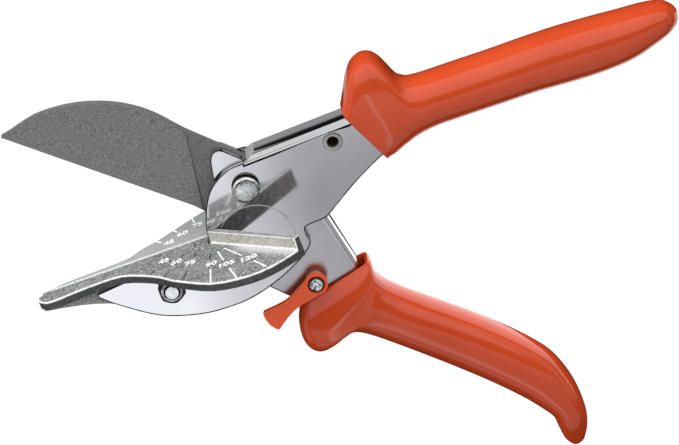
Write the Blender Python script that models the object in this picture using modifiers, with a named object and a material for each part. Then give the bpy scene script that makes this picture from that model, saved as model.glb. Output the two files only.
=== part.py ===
"""Mitre shears, lying on their side with the handles open.

+X runs along the table's cutting line towards the handles, +Y out of the table's top face, and +Z out of
the outer side plate. The pivot's axis is X = Y = 0, and Z = 0 is the rear end face of the pivot bolt. Lengths
below are in metres. Outlines are drawn as seen from +Z, with the pivot at zero, and heights across the tool
are counted from the blade's middle plane.
"""
import math

import bmesh
import bpy
from mathutils import Matrix, Vector

MM = 0.001

# Blade, sheets and the gaps across the tool
BLADE_THICKNESS = 3.2 * MM
BLADE_LENGTH = 80.0 * MM
BLADE_DEPTH = 26.0 * MM
EDGE_THICKNESS = 0.5 * MM
INNER_SHEET = 2.0 * MM
OUTER_SHEET = 2.1 * MM
SIDE_GAP = 0.3 * MM
SEAT_GAP = 0.3 * MM
OVERRUN = 2.0 * MM
CLOSE_ENOUGH = 0.01 * MM
OPEN_ANGLE = math.radians(42.0)

# Outlines of the two levers, as units that their shares follow
PLATE_LENGTH = 100.0 * MM
PLATE_DEPTH = 50.0 * MM
WEB_HEIGHT = 10.2 * MM
WEB_START = 3.4 * MM
BEND_RADIUS = 3.0 * MM
BEND_STEPS = 6
TANG_LENGTH = 68.0 * MM
ARM_LENGTH = 50.0 * MM

# Table casting
TABLE_DROP = 14.2 * MM
FLANGE_THICKNESS = 3.0 * MM
TABLE_LENGTH = 60.0 * MM
TABLE_WIDTH = 42.4 * MM
REAR_WIDTH = 22.0 * MM
TABLE_INNER_END = 18.6 * MM
FENCE_HEIGHT = 4.2 * MM
FENCE_THICKNESS = 2.2 * MM
FENCE_SETBACK = 0.9 * MM
TONGUE_DEPTH = 17.0 * MM
GROOVE_DEPTH = 0.6 * MM
GROOVE_WIDTH = 1.4 * MM

# Grips: the lower one's reach and the latch's place follow the arm that carries them
UPPER_GRIP_LENGTH = 113.0 * MM
UPPER_GRIP_DEPTH = 19.0 * MM
LOWER_GRIP_REACH = (1.66, 1.9)
LOWER_GRIP_WIDTH = ARM_LENGTH * LOWER_GRIP_REACH[0]
LOWER_GRIP_LENGTH = ARM_LENGTH * LOWER_GRIP_REACH[1]
GRIP_THICKNESS = 18.6 * MM

# Pivot
PIVOT_SHANK_RADIUS = 4.0 * MM
PIVOT_COLLAR_RADIUS = 4.3 * MM
PIVOT_COLLAR_HEIGHT = 1.7 * MM
PIVOT_HEAD_RADIUS = 4.65 * MM
PIVOT_HEAD_HEIGHT = 2.3 * MM
PIVOT_CHAMFER = 0.85 * MM
PIVOT_NUT_WIDTH = 13.0 * MM
PIVOT_NUT_HEIGHT = 5.0 * MM
PIVOT_END_STAND = 0.9 * MM
PIVOT_BUSH_WALL = 1.2 * MM
WASHER_THICKNESS = 1.2 * MM
WASHER_RADIUS = 7.5 * MM
RUNNING_GAP = 0.3 * MM

# Table bolt
TABLE_BOLT_RADIUS = 2.5 * MM
TABLE_NUT_WIDTH = 8.2 * MM
TABLE_NUT_HEIGHT = 3.2 * MM
TABLE_BOLT_HEAD_HEIGHT = 3.6 * MM
TABLE_BOLT_STAND = 0.8 * MM
TABLE_BOLT_ROOT = 0.5 * MM

# Blade rivets
RIVET_RADIUS = 2.2 * MM

# Spring and the hollow rivet that carries it
SPRING_PIN_DISTANCE = 32.1 * MM
SPRING_PIN_RISE = 5.0 * MM
SPRING_PIN_RADIUS = 2.5 * MM
SPRING_PIN_BORE_RADIUS = 1.9 * MM
SPRING_PIN_FLANGE_RADIUS = 3.6 * MM
SPRING_PIN_FLANGE_HEIGHT = 0.4 * MM
SPRING_WIDTH = 6.4 * MM
SPRING_THICKNESS = 0.9 * MM
SPRING_SEAT_DISTANCE = 5.0 * MM

# Latch
LATCH_SHARES = (0.198, -0.81)
LATCH_DISTANCE = ARM_LENGTH * LATCH_SHARES[0]
LATCH_DROP = -ARM_LENGTH * LATCH_SHARES[1]
LATCH_BOSS_RADIUS = 3.9 * MM
LATCH_HUB_RADIUS = 3.1 * MM
LATCH_ARM_THICKNESS = 1.9 * MM
LATCH_LENGTH = 20.6 * MM
LATCH_TAIL_WIDTH = 8.2 * MM
LATCH_RECESS_RADIUS = 3.0 * MM
LATCH_RECESS_DEPTH = 1.2 * MM
LATCH_SCREW_RADIUS = 1.25 * MM
LATCH_SCREW_HEAD_RADIUS = 2.6 * MM
LATCH_SCREW_HEAD_HEIGHT = 1.2 * MM
LATCH_SCREW_CHAMFER = 0.3 * MM
LATCH_BUSH_WALL = 0.5 * MM
LATCH_WASHER_THICKNESS = 0.5 * MM
LATCH_NUT_WIDTH = 6.4 * MM
LATCH_NUT_HEIGHT = 2.4 * MM

# Heights across the tool, from the blade's middle plane
BLADE_FACE = BLADE_THICKNESS / 2
INNER_LOW = BLADE_FACE + SIDE_GAP
INNER_TOP = INNER_LOW + INNER_SHEET
OUTER_LOW = INNER_TOP + SIDE_GAP
OUTER_TOP = OUTER_LOW + OUTER_SHEET
PLATE_CLEAR = OUTER_TOP + SEAT_GAP
WASHER_LOW = -PLATE_CLEAR - WASHER_THICKNESS
PIVOT_NUT_LOW = WASHER_LOW - SEAT_GAP - PIVOT_NUT_HEIGHT
PIVOT_END = PIVOT_NUT_LOW - PIVOT_END_STAND
MIDDLE_HEIGHT = -PIVOT_END

# Levels of the table casting
TABLE_TOP = -TABLE_DROP
TABLE_UNDER = TABLE_TOP - FLANGE_THICKNESS
EDGE_LEVEL = TABLE_TOP - SEAT_GAP


def new_collection(name):
    group = bpy.data.collections.new(name)
    bpy.context.scene.collection.children.link(group)
    return group


for old in list(bpy.data.objects):
    bpy.data.objects.remove(old, do_unlink=True)
PARTS = new_collection("mitre_shears")
CUTTERS = new_collection("cutters")


def new_empty(name, place, parent=None):
    empty = bpy.data.objects.new(name, None)
    PARTS.objects.link(empty)
    empty.parent = parent
    empty.location = place
    return empty


# The middle plane of the blade carries everything; the pivot and the latch carry what turns on them
ROOT = new_empty("middle_plane", (0.0, 0.0, MIDDLE_HEIGHT))
SHEAR_AXIS = new_empty("shear_axis", (0.0, 0.0, 0.0), ROOT)
LATCH_PLACE = Vector((LATCH_DISTANCE, -LATCH_DROP, 0.0))
LATCH_AXIS = new_empty("latch_axis", LATCH_PLACE, SHEAR_AXIS)


def new_material(name, colour, roughness, metallic):
    material = bpy.data.materials.new(name)
    material.use_nodes = True
    shader = material.node_tree.nodes["Principled BSDF"]
    shader.inputs["Base Color"].default_value = (*colour, 1.0)
    shader.inputs["Roughness"].default_value = roughness
    shader.inputs["Metallic"].default_value = metallic
    return material


CHROME = new_material("chromed_sheet", (0.80, 0.80, 0.83), 0.10, 1.0)
COATED = new_material("coated_blade", (0.16, 0.16, 0.155), 0.50, 0.6)
CAST = new_material("cast_table", (0.50, 0.52, 0.50), 0.42, 1.0)
ZINC = new_material("zinc_plate", (0.68, 0.74, 0.78), 0.28, 1.0)
SPRING_STEEL = new_material("spring_steel", (0.35, 0.36, 0.38), 0.30, 1.0)
BRONZE = new_material("bronze", (0.55, 0.38, 0.18), 0.35, 1.0)
ORANGE = new_material("orange_dip", (0.80, 0.13, 0.04), 0.22, 0.0)
LATCH_ORANGE = new_material("latch_orange", (0.82, 0.14, 0.04), 0.30, 0.0)


def along(points, steps):
    """Points on one smooth curve through all the given ones."""
    spread = []
    last = len(points) - 1
    for i in range(last):
        before, a = points[max(i - 1, 0)], points[i]
        b, after = points[i + 1], points[min(i + 2, last)]
        for k in range(steps):
            t = k / steps
            spread.append(tuple(
                0.5 * (2 * q + (r - p) * t + (2 * p - 5 * q + 4 * r - s) * t ** 2
                       + (3 * q - p - 3 * r + s) * t ** 3)
                for p, q, r, s in zip(before, a, b, after)))
    return spread + [tuple(points[last])]


def sized(shares, length, depth):
    """Points written as shares of a length and a depth."""
    return [(length * x, depth * y) for x, y in shares]


def grown(points, gap):
    """The outline moved outwards by a gap, corner by corner."""
    area = sum(a[0] * b[1] - b[0] * a[1] for a, b in zip(points, points[1:] + points[:1]))
    side = 1.0 if area > 0 else -1.0
    moved = []
    for before, here, after in zip(points[-1:] + points[:-1], points, points[1:] + points[:1]):
        first = (Vector(here) - Vector(before)).normalized()
        second = (Vector(after) - Vector(here)).normalized()
        normal = Vector((first.y + second.y, -first.x - second.x)).normalized() * side
        reach = max(normal.dot(Vector((first.y, -first.x)) * side), 0.5)
        moved.append(tuple(Vector(here) + normal * gap / reach))
    return moved


def finished(name, mesh, material, axis, smooth_angle=35.0):
    """An object of the model on its axis, shaded smooth where it is round."""
    thing = bpy.data.objects.new(name, mesh)
    PARTS.objects.link(thing)
    thing.parent = axis
    mesh.materials.clear()
    mesh.materials.append(material)
    mesh.shade_smooth()
    mesh.set_sharp_from_angle(angle=math.radians(smooth_angle))
    return thing


def guide(name, mesh):
    """An object that cuts or joins others, and isn't part of the model."""
    thing = bpy.data.objects.new(name, mesh)
    CUTTERS.objects.link(thing)
    thing.parent = ROOT
    thing.hide_render = True
    thing.display_type = "WIRE"
    return thing


SWAP_Y_AND_Z = Matrix(((1, 0, 0, 0), (0, 0, 1, 0), (0, 1, 0, 0), (0, 0, 0, 1)))


def prism(name, points, low, high, upright=False):
    """Mesh of a flat outline between two heights. An upright one lies in X and Z, between two levels of Y."""
    shape = bpy.data.curves.new(name, "CURVE")
    shape.dimensions = "2D"
    shape.fill_mode = "BOTH"
    shape.extrude = (high - low) / 2
    line = shape.splines.new("POLY")
    line.points.add(len(points) - 1)
    for point, (x, y) in zip(line.points, points):
        point.co = (x, y, 0.0, 1.0)
    line.use_cyclic_u = True
    holder = bpy.data.objects.new(name, shape)
    CUTTERS.objects.link(holder)
    bpy.context.view_layer.update()
    evaluated = holder.evaluated_get(bpy.context.evaluated_depsgraph_get())
    mesh = bpy.data.meshes.new_from_object(evaluated)
    bpy.data.objects.remove(holder)
    bpy.data.curves.remove(shape)
    work = bmesh.new()
    work.from_mesh(mesh)
    bmesh.ops.remove_doubles(work, verts=work.verts, dist=MM * MM)
    bmesh.ops.translate(work, verts=work.verts, vec=(0.0, 0.0, (low + high) / 2))
    if upright:
        bmesh.ops.transform(work, verts=work.verts, matrix=SWAP_Y_AND_Z)
    bmesh.ops.recalc_face_normals(work, faces=work.faces)
    work.to_mesh(mesh)
    work.free()
    return mesh


def rod(name, centre, radius, low, high, sides=40, top_radius=None):
    """Mesh of a round or many-sided bar along Z between two heights."""
    work = bmesh.new()
    end = radius if top_radius is None else top_radius
    bmesh.ops.create_cone(work, cap_ends=True, segments=sides, radius1=radius, radius2=end, depth=high - low,
                          matrix=Matrix.Translation((centre[0], centre[1], (low + high) / 2)))
    mesh = bpy.data.meshes.new(name)
    work.to_mesh(mesh)
    work.free()
    return mesh


def turned(name, centre, profile, material, axis, steps=40):
    """A turned piece: its profile runs down the outer side and is spun about its own axis."""
    mesh = bpy.data.meshes.new(name)
    count = len(profile)
    solid = profile[0][0] == 0.0
    edges = [(i, i + 1) for i in range(count - 1)]
    if not solid:
        edges.append((count - 1, 0))
    mesh.from_pydata([(r, 0.0, z) for r, z in profile], edges, [])
    piece = finished(name, mesh, material, axis)
    piece.location = (centre[0], centre[1], 0.0)
    spin = piece.modifiers.new("spin", "SCREW")
    spin.steps = steps
    spin.render_steps = steps
    spin.use_merge_vertices = True
    spin.merge_threshold = CLOSE_ENOUGH
    return piece


def combine(piece, other, operation):
    step = piece.modifiers.new(other.name, "BOOLEAN")
    step.object = other
    step.operation = operation
    step.solver = "EXACT"


def cut(piece, *meshes):
    for mesh in meshes:
        combine(piece, guide(mesh.name, mesh), "DIFFERENCE")


def add(piece, *meshes):
    for mesh in meshes:
        combine(piece, guide(mesh.name, mesh), "UNION")


def hexagon(width):
    """Radius over the corners of a hexagon with this width over its flats."""
    return width / math.sqrt(3.0)


def opened(point):
    """A place on the closed blade, turned to where it stands with the handles open."""
    c, s = math.cos(OPEN_ANGLE), math.sin(OPEN_ANGLE)
    return (point[0] * c + point[1] * s, -point[0] * s + point[1] * c)


def bend_edges(mesh, line, half):
    """Round the outer edges of a folded sheet: those along its web line, at both side faces."""
    ends = [Vector(point) for point in line]
    work = bmesh.new()
    work.from_mesh(mesh)

    def on_line(vertex):
        flat = vertex.co.xy
        return any(abs((b - a).normalized().cross(flat - a)) < CLOSE_ENOUGH
                   and -CLOSE_ENOUGH < (flat - a).dot((b - a).normalized()) < (b - a).length + CLOSE_ENOUGH
                   for a, b in zip(ends, ends[1:]))

    folds = [edge for edge in work.edges
             if all(abs(abs(v.co.z) - half) < CLOSE_ENOUGH and on_line(v) for v in edge.verts)
             and abs(edge.verts[0].co.z - edge.verts[1].co.z) < CLOSE_ENOUGH]
    bmesh.ops.bevel(work, geom=folds, offset=BEND_RADIUS, segments=BEND_STEPS, profile=0.5, affect="EDGES")
    work.to_mesh(mesh)
    work.free()


def bolt_profile(shank, head, head_low, head_high, end, chamfer, end_chamfer):
    """Profile of a bolt with a round head on top, from the top of its axis down."""
    return [(0.0, head_high), (head - chamfer, head_high), (head, head_high - chamfer), (head, head_low),
            (shank, head_low), (shank, end + end_chamfer), (shank - end_chamfer, end), (0.0, end)]


# Anvil lever: one folded sheet, with the web along its top, two side plates and a leaf under the table
LEAF_TOP = TABLE_UNDER - SEAT_GAP
LOWER_EDGE_SHARES = [(-0.596, -0.4), (-0.546, -0.496), (-0.431, -0.668), (-0.305, -0.758), (-0.2, -0.78),
                     (-0.109, -0.766), (-0.011, -0.708), (0.076, -0.624), (0.122, -0.556), (0.134, -0.51)]
NOTCH_SHARES = [(0.134, -0.51), (0.129, -0.466), (0.131, -0.424), (0.142, -0.407), (0.179, -0.402),
                (0.206, -0.398), (0.224, -0.382)]
RIGHT_EDGE_SHARES = [(0.224, -0.382), (0.272, -0.32), (0.339, -0.234), (0.413, -0.154), (0.471, -0.1),
                     (0.53, -0.06), (0.6, -0.03)]
NOSE_SHARES = [(0.028, 0.166), (-0.024, 0.162), (-0.057, 0.14), (-0.088, 0.104), (-0.116, 0.056),
               (-0.138, -0.01), (-0.158, -0.088), (-0.175, -0.19), (-0.183, -0.284)]
TANG_BOTTOM_SHARE = -0.02
LEAF_RUN_SHARE = -0.48
LEAF_TIP_SHARE = (-0.595, -0.372)
MOUTH_SHARE = 0.385
WEB_RISE_SHARE = 0.024
plate_end = PLATE_LENGTH * RIGHT_EDGE_SHARES[-1][0] + TANG_LENGTH
web_line = [(WEB_START, WEB_HEIGHT),
            (PLATE_LENGTH * MOUTH_SHARE, WEB_HEIGHT + PLATE_DEPTH * WEB_RISE_SHARE),
            (plate_end, WEB_HEIGHT)]
tang_bottom = PLATE_DEPTH * TANG_BOTTOM_SHARE
nose = along(sized(NOSE_SHARES, PLATE_LENGTH, PLATE_DEPTH), 3)
lever_outline = (
    along(sized(LOWER_EDGE_SHARES, PLATE_LENGTH, PLATE_DEPTH), 4)[:-1]
    + along(sized(NOTCH_SHARES, PLATE_LENGTH, PLATE_DEPTH), 2)[:-1]
    + along(sized(RIGHT_EDGE_SHARES, PLATE_LENGTH, PLATE_DEPTH), 3)
    + [(plate_end, tang_bottom)] + web_line[::-1] + [(WEB_START, nose[0][1])] + nose
    + [(nose[-1][0], LEAF_TOP), (PLATE_LENGTH * LEAF_RUN_SHARE, LEAF_TOP)]
    + sized([LEAF_TIP_SHARE], PLATE_LENGTH, PLATE_DEPTH))
plate_mesh = prism("anvil_lever", lever_outline, -OUTER_TOP, OUTER_TOP)
bend_edges(plate_mesh, web_line, OUTER_TOP)
anvil_lever = finished("anvil_lever", plate_mesh, CHROME, ROOT)
hollow_left = -PLATE_LENGTH
hollow_right = plate_end + OVERRUN
hollow_gate = WEB_START - SEAT_GAP
anvil_hollow = [(hollow_left, -PLATE_LENGTH), (hollow_right, -PLATE_LENGTH),
                (hollow_right, web_line[2][1] - OUTER_SHEET), (web_line[1][0], web_line[1][1] - OUTER_SHEET),
                (hollow_gate, WEB_HEIGHT - OUTER_SHEET),
                (hollow_gate, PLATE_DEPTH), (hollow_left, PLATE_DEPTH)]
TABLE_BOLT_SHARES = (-0.356, -0.501)
table_bolt = (PLATE_LENGTH * TABLE_BOLT_SHARES[0], PLATE_DEPTH * TABLE_BOLT_SHARES[1])
spring_pin_place = (SPRING_PIN_DISTANCE, SPRING_PIN_RISE)
through = OUTER_TOP + OVERRUN
cut(anvil_lever,
    prism("anvil_lever_hollow", anvil_hollow, -OUTER_LOW, OUTER_LOW),
    rod("anvil_lever_pivot_hole", (0.0, 0.0), PIVOT_SHANK_RADIUS + SEAT_GAP, -through, through),
    rod("anvil_lever_bolt_hole", table_bolt, TABLE_BOLT_RADIUS + SEAT_GAP, -through, through),
    rod("anvil_lever_pin_hole", spring_pin_place, SPRING_PIN_RADIUS + SEAT_GAP, -through, through))

# Blade: ground thin towards its edge from a slanting grind line, with a tang between the inner lever's walls
BLADE_BACK_SHARES = [(-1.002, 0.04), (-0.978, 0.136), (-0.911, 0.43), (-0.83, 0.645), (-0.754, 0.79),
                     (-0.68, 0.89), (-0.602, 0.96), (-0.513, 0.995), (-0.432, 0.985), (-0.311, 0.93),
                     (-0.175, 0.902), (-0.051, 0.878)]
BLADE_TANG_SHARES = [(-0.051, 0.878), (0.061, 0.806), (0.166, 0.706), (0.252, 0.58), (0.337, 0.36),
                     (0.372, 0.09), (0.306, -0.148), (0.2, -0.13), (0.054, 0.085), (-0.1, -0.02)]
GRIND_SHARES = (-0.545, 0.114)
EDGE_END_SHARE = -0.16
RIVET_SHARES = [(0.2, 0.33), (0.29, 0.12)]


def blade_place(share):
    """A share of the blade's length along its edge, and of its depth above the edge, on the open shears."""
    return opened((BLADE_LENGTH * share[0], EDGE_LEVEL + BLADE_DEPTH * share[1]))


blade_back = along([blade_place(share) for share in BLADE_BACK_SHARES], 3)
blade_outline = blade_back[:-1] + [blade_place(share) for share in BLADE_TANG_SHARES]
blade_outline += [opened((BLADE_LENGTH * EDGE_END_SHARE, EDGE_LEVEL)), opened((-BLADE_LENGTH, EDGE_LEVEL))]
blade = finished("blade", prism("blade", blade_outline, -BLADE_FACE, BLADE_FACE), COATED, SHEAR_AXIS)


def grind(name, side):
    """A wedge over one face of the blade: it leaves the full thickness at the back and a thin edge."""
    slope = math.atan2(BLADE_FACE - EDGE_THICKNESS / 2, BLADE_DEPTH)
    upper, lower = GRIND_SHARES
    far = -BLADE_LENGTH - BLADE_DEPTH
    outline = [(far, -BLADE_DEPTH), (BLADE_LENGTH * lower, -BLADE_DEPTH), (BLADE_LENGTH * upper, BLADE_DEPTH * 2),
               (far, BLADE_DEPTH * 2)]
    mesh = prism(name, outline, 0.0, BLADE_THICKNESS)
    place = (Matrix.Rotation(-OPEN_ANGLE, 4, "Z") @ Matrix.Translation((0.0, EDGE_LEVEL, 0.0))
             @ Matrix.Scale(side, 4, (0.0, 0.0, 1.0))
             @ Matrix.Translation((0.0, 0.0, EDGE_THICKNESS / 2)) @ Matrix.Rotation(slope, 4, "X"))
    mesh.transform(place)
    if side < 0:
        mesh.flip_normals()
    return mesh


bush_radius = PIVOT_SHANK_RADIUS + RUNNING_GAP + PIVOT_BUSH_WALL
rivet_places = [blade_place(share) for share in RIVET_SHARES]
cut(blade, grind("front_grind", 1.0), grind("rear_grind", -1.0),
    rod("blade_pivot_hole", (0.0, 0.0), bush_radius + SEAT_GAP, -through, through),
    *[rod("blade_rivet_hole", place, RIVET_RADIUS + SEAT_GAP, -through, through) for place in rivet_places])

# Blade lever: a smaller folded sheet inside the first, with its web along its right side
LUG_SHARES = [(-0.19, 0.086), (-0.172, 0.18), (-0.154, 0.248), (-0.12, 0.288), (-0.072, 0.288),
              (-0.018, 0.24), (0.046, 0.175)]
INNER_RIGHT_SHARES = [(0.046, 0.175), (0.14, 0.06), (0.25, -0.09), (0.34, -0.225)]
INNER_WEB_SHARES = [(0.408, -0.284), (0.436, -0.44), (0.52, -0.884), (0.546, -0.99), (0.64, -1.12), (1.24, -1.69)]
INNER_LEFT_SHARES = [(1.04, -1.88), (0.474, -1.35), (0.27, -1.17), (0.15, -1.03), (0.085, -0.955),
                     (-0.006, -0.87), (-0.104, -0.76), (-0.14, -0.66), (-0.16, -0.5), (-0.196, -0.24), (-0.204, -0.04)]
inner_web = sized(INNER_WEB_SHARES, ARM_LENGTH, ARM_LENGTH)
inner_outline = (along(sized(LUG_SHARES, ARM_LENGTH, ARM_LENGTH), 3)[:-1]
                 + sized(INNER_RIGHT_SHARES, ARM_LENGTH, ARM_LENGTH) + inner_web
                 + sized(INNER_LEFT_SHARES, ARM_LENGTH, ARM_LENGTH))
inner_mesh = prism("blade_lever", inner_outline, -INNER_TOP, INNER_TOP)
bend_edges(inner_mesh, inner_web, INNER_TOP)
blade_lever = finished("blade_lever", inner_mesh, CHROME, SHEAR_AXIS)


def inward(points, distance):
    """A line of points moved to its right-hand side, seen from +Z."""
    moved = []
    for i, here in enumerate(points):
        before, after = points[max(i - 1, 0)], points[min(i + 1, len(points) - 1)]
        run = (Vector(after) - Vector(before)).normalized()
        moved.append(tuple(Vector(here) + Vector((run.y, -run.x)) * distance))
    return moved


web_inside = inward(inner_web, INNER_SHEET)
last_run = (Vector(web_inside[-1]) - Vector(web_inside[-2])).normalized()
web_tail = tuple(Vector(web_inside[-1]) + last_run * OVERRUN)
inner_hollow = [(-ARM_LENGTH, ARM_LENGTH), (ARM_LENGTH, ARM_LENGTH), (ARM_LENGTH, inner_web[0][1] + SEAT_GAP),
                (web_inside[0][0], inner_web[0][1] + SEAT_GAP)]
inner_hollow += web_inside[:-1] + [web_tail, (web_tail[0], -ARM_LENGTH * 3), (-ARM_LENGTH, -ARM_LENGTH * 3)]
cut(blade_lever,
    prism("blade_lever_hollow", inner_hollow, -INNER_LOW, INNER_LOW),
    rod("blade_lever_pivot_hole", (0.0, 0.0), bush_radius + SEAT_GAP, -through, through),
    rod("latch_screw_hole", LATCH_PLACE, LATCH_SCREW_RADIUS + SEAT_GAP, 0.0, through, 24),
    *[rod("lever_rivet_hole", place, RIVET_RADIUS + SEAT_GAP, -through, through) for place in rivet_places])

# Rivets: two plain pins hold the tang between the inner lever's walls
for number, place in enumerate(rivet_places, 1):
    rivet_name = f"blade_rivet_{number}"
    finished(rivet_name, rod(rivet_name, place, RIVET_RADIUS, -INNER_TOP, INNER_TOP, 32), ZINC, SHEAR_AXIS)

# Pivot: bolt with a collar under its head from the front, bush through the inner lever, washer and hexagon nut behind
pivot_head_low = PLATE_CLEAR + PIVOT_COLLAR_HEIGHT
pivot_profile = bolt_profile(PIVOT_SHANK_RADIUS, PIVOT_HEAD_RADIUS, pivot_head_low, pivot_head_low + PIVOT_HEAD_HEIGHT,
                             PIVOT_END, PIVOT_CHAMFER, PIVOT_CHAMFER)
pivot_collar = [(PIVOT_COLLAR_RADIUS, pivot_head_low), (PIVOT_COLLAR_RADIUS, PLATE_CLEAR),
                (PIVOT_SHANK_RADIUS, PLATE_CLEAR)]
turned("pivot_bolt", (0.0, 0.0), pivot_profile[:4] + pivot_collar + pivot_profile[5:], ZINC, ROOT, 48)


def ring(name, centre, inner, outer, low, high, material, axis, steps=40):
    return turned(name, centre, [(outer, high), (outer, low), (inner, low), (inner, high)], material, axis, steps)


ring("pivot_bush", (0.0, 0.0), PIVOT_SHANK_RADIUS + RUNNING_GAP, bush_radius,
     -OUTER_LOW + SEAT_GAP, OUTER_LOW - SEAT_GAP, BRONZE, ROOT)
ring("pivot_washer", (0.0, 0.0), PIVOT_SHANK_RADIUS + SEAT_GAP, WASHER_RADIUS, WASHER_LOW,
     WASHER_LOW + WASHER_THICKNESS, ZINC, ROOT)


def nut(name, centre, width, bolt_radius, low, high, axis):
    """A hexagon nut: its corners are turned off at both faces by two cones that are kept in common with it."""
    piece = finished(name, rod(name, centre, hexagon(width), low, high, 6), ZINC, axis)
    crown = width / 2 + (high - low) / 2
    combine(piece, guide(name + "_crown", rod(name + "_crown", centre, crown + OVERRUN, low - OVERRUN, high, 40,
                                              width / 2)), "INTERSECT")
    combine(piece, guide(name + "_base", rod(name + "_base", centre, width / 2, low, high + OVERRUN, 40,
                                             crown + OVERRUN)), "INTERSECT")
    cut(piece, rod(name + "_bore", centre, bolt_radius + SEAT_GAP, low - OVERRUN, high + OVERRUN))
    return piece


nut("pivot_nut", (0.0, 0.0), PIVOT_NUT_WIDTH, PIVOT_SHANK_RADIUS, PIVOT_NUT_LOW,
    PIVOT_NUT_LOW + PIVOT_NUT_HEIGHT, ROOT)

# Table casting: a flat wing with a fence on it, and a tongue that hangs between the side plates
FRONT_RIM_SHARES = [(-1.323, 0.075), (-1.312, 0.13), (-1.28, 0.189), (-1.24, 0.21), (-1.18, 0.207),
                    (-1.067, 0.184), (-0.948, 0.175), (-0.83, 0.191), (-0.712, 0.307), (-0.6, 0.46),
                    (-0.537, 0.585), (-0.422, 0.757), (-0.308, 0.901), (-0.17, 0.982), (-0.027, 0.998),
                    (0.088, 0.943), (0.193, 0.851)]
REAR_RIM_SHARES = [(-0.31, -1.0), (-0.412, -0.827), (-0.593, -0.486), (-0.653, -0.409), (-0.713, -0.327),
                   (-0.773, -0.195), (-0.86, -0.15), (-1.012, -0.127), (-1.132, -0.11), (-1.192, -0.08),
                   (-1.25, -0.018), (-1.3, 0.07)]
front_rim = along(sized(FRONT_RIM_SHARES, TABLE_LENGTH, TABLE_WIDTH), 2)
rear_rim = along(sized(REAR_RIM_SHARES, TABLE_LENGTH, REAR_WIDTH), 2)
fence_step = FENCE_THICKNESS * math.sqrt(2.0)
fence_foot = (-TABLE_INNER_END + FENCE_SETBACK, PLATE_CLEAR)
fence_run = front_rim[-1][1] - PLATE_CLEAR - fence_step / 2
fence_end = (fence_foot[0] + fence_run, PLATE_CLEAR + fence_run)
wing_outline = (front_rim
                + [(fence_end[0] + fence_step, fence_end[1]), (fence_foot[0] + fence_step, PLATE_CLEAR),
                   (-TABLE_INNER_END, PLATE_CLEAR), (-TABLE_INNER_END, -REAR_WIDTH)]
                + rear_rim[1:-1])
mitre_table = finished("mitre_table", prism("mitre_table", wing_outline, TABLE_UNDER, TABLE_TOP, True),
                       CAST, ROOT)
fence_outline = [fence_foot, fence_end, front_rim[-1], (fence_end[0] + fence_step, fence_end[1]),
                 (fence_foot[0] + fence_step, PLATE_CLEAR)]
TONGUE_SHARES = [(-0.98, -0.02), (-0.98, -0.1), (-0.94, -0.14), (-0.835, -0.235), (-0.72, -0.4), (-0.6, -0.7),
                 (-0.5, -0.92), (-0.42, -1.0), (-0.3, -0.95), (-0.2, -0.78), (-0.17, -0.55)]
tongue_low = along(sized(TONGUE_SHARES, BLADE_LENGTH, TONGUE_DEPTH), 2)
tongue_outline = [(x, TABLE_UNDER + y) for x, y in tongue_low]
tongue_outline += [(tongue_low[-1][0], TABLE_UNDER - SEAT_GAP),
                   (-TABLE_INNER_END - SEAT_GAP, TABLE_UNDER - SEAT_GAP),
                   (-TABLE_INNER_END - SEAT_GAP, TABLE_UNDER + FLANGE_THICKNESS / 2),
                   (tongue_low[0][0], TABLE_UNDER + FLANGE_THICKNESS / 2)]
tongue_face = OUTER_LOW - SEAT_GAP
add(mitre_table,
    prism("fence", fence_outline, TABLE_UNDER + FLANGE_THICKNESS / 2, TABLE_TOP + FENCE_HEIGHT, True),
    prism("tongue", tongue_outline, -tongue_face, tongue_face))
groove_outline = [(-BLADE_LENGTH, -GROOVE_WIDTH / 2), (0.0, -GROOVE_WIDTH / 2), (0.0, GROOVE_WIDTH / 2),
                  (-BLADE_LENGTH, GROOVE_WIDTH / 2)]
cut(mitre_table,
    prism("landing_groove", groove_outline, TABLE_TOP - GROOVE_DEPTH, TABLE_TOP + OVERRUN, True),
    rod("table_bolt_hole", table_bolt, TABLE_BOLT_RADIUS + SEAT_GAP, -through, through))

# Table bolt: hexagon head behind, nut in front
head_high = -PLATE_CLEAR
bolt_top = PLATE_CLEAR + TABLE_NUT_HEIGHT + TABLE_BOLT_STAND
anvil_shank = rod("anvil_bolt", table_bolt, TABLE_BOLT_RADIUS, head_high - TABLE_BOLT_ROOT, bolt_top)
anvil_bolt = finished("anvil_bolt", anvil_shank, ZINC, ROOT)
add(anvil_bolt, rod("anvil_bolt_head", table_bolt, hexagon(TABLE_NUT_WIDTH), head_high - TABLE_BOLT_HEAD_HEIGHT,
                    head_high, 6))
nut("anvil_nut", table_bolt, TABLE_NUT_WIDTH, TABLE_BOLT_RADIUS, PLATE_CLEAR,
    PLATE_CLEAR + TABLE_NUT_HEIGHT, ROOT)

# Spring pin: a hollow rivet with a flat collar on each plate
collar_top = PLATE_CLEAR + SPRING_PIN_FLANGE_HEIGHT
turned("spring_pin", spring_pin_place,
       [(SPRING_PIN_FLANGE_RADIUS, collar_top), (SPRING_PIN_FLANGE_RADIUS, PLATE_CLEAR),
        (SPRING_PIN_RADIUS, PLATE_CLEAR), (SPRING_PIN_RADIUS, -PLATE_CLEAR),
        (SPRING_PIN_FLANGE_RADIUS, -PLATE_CLEAR),
        (SPRING_PIN_FLANGE_RADIUS, -collar_top), (SPRING_PIN_BORE_RADIUS, -collar_top),
        (SPRING_PIN_BORE_RADIUS, collar_top)], CHROME, ROOT)

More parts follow.
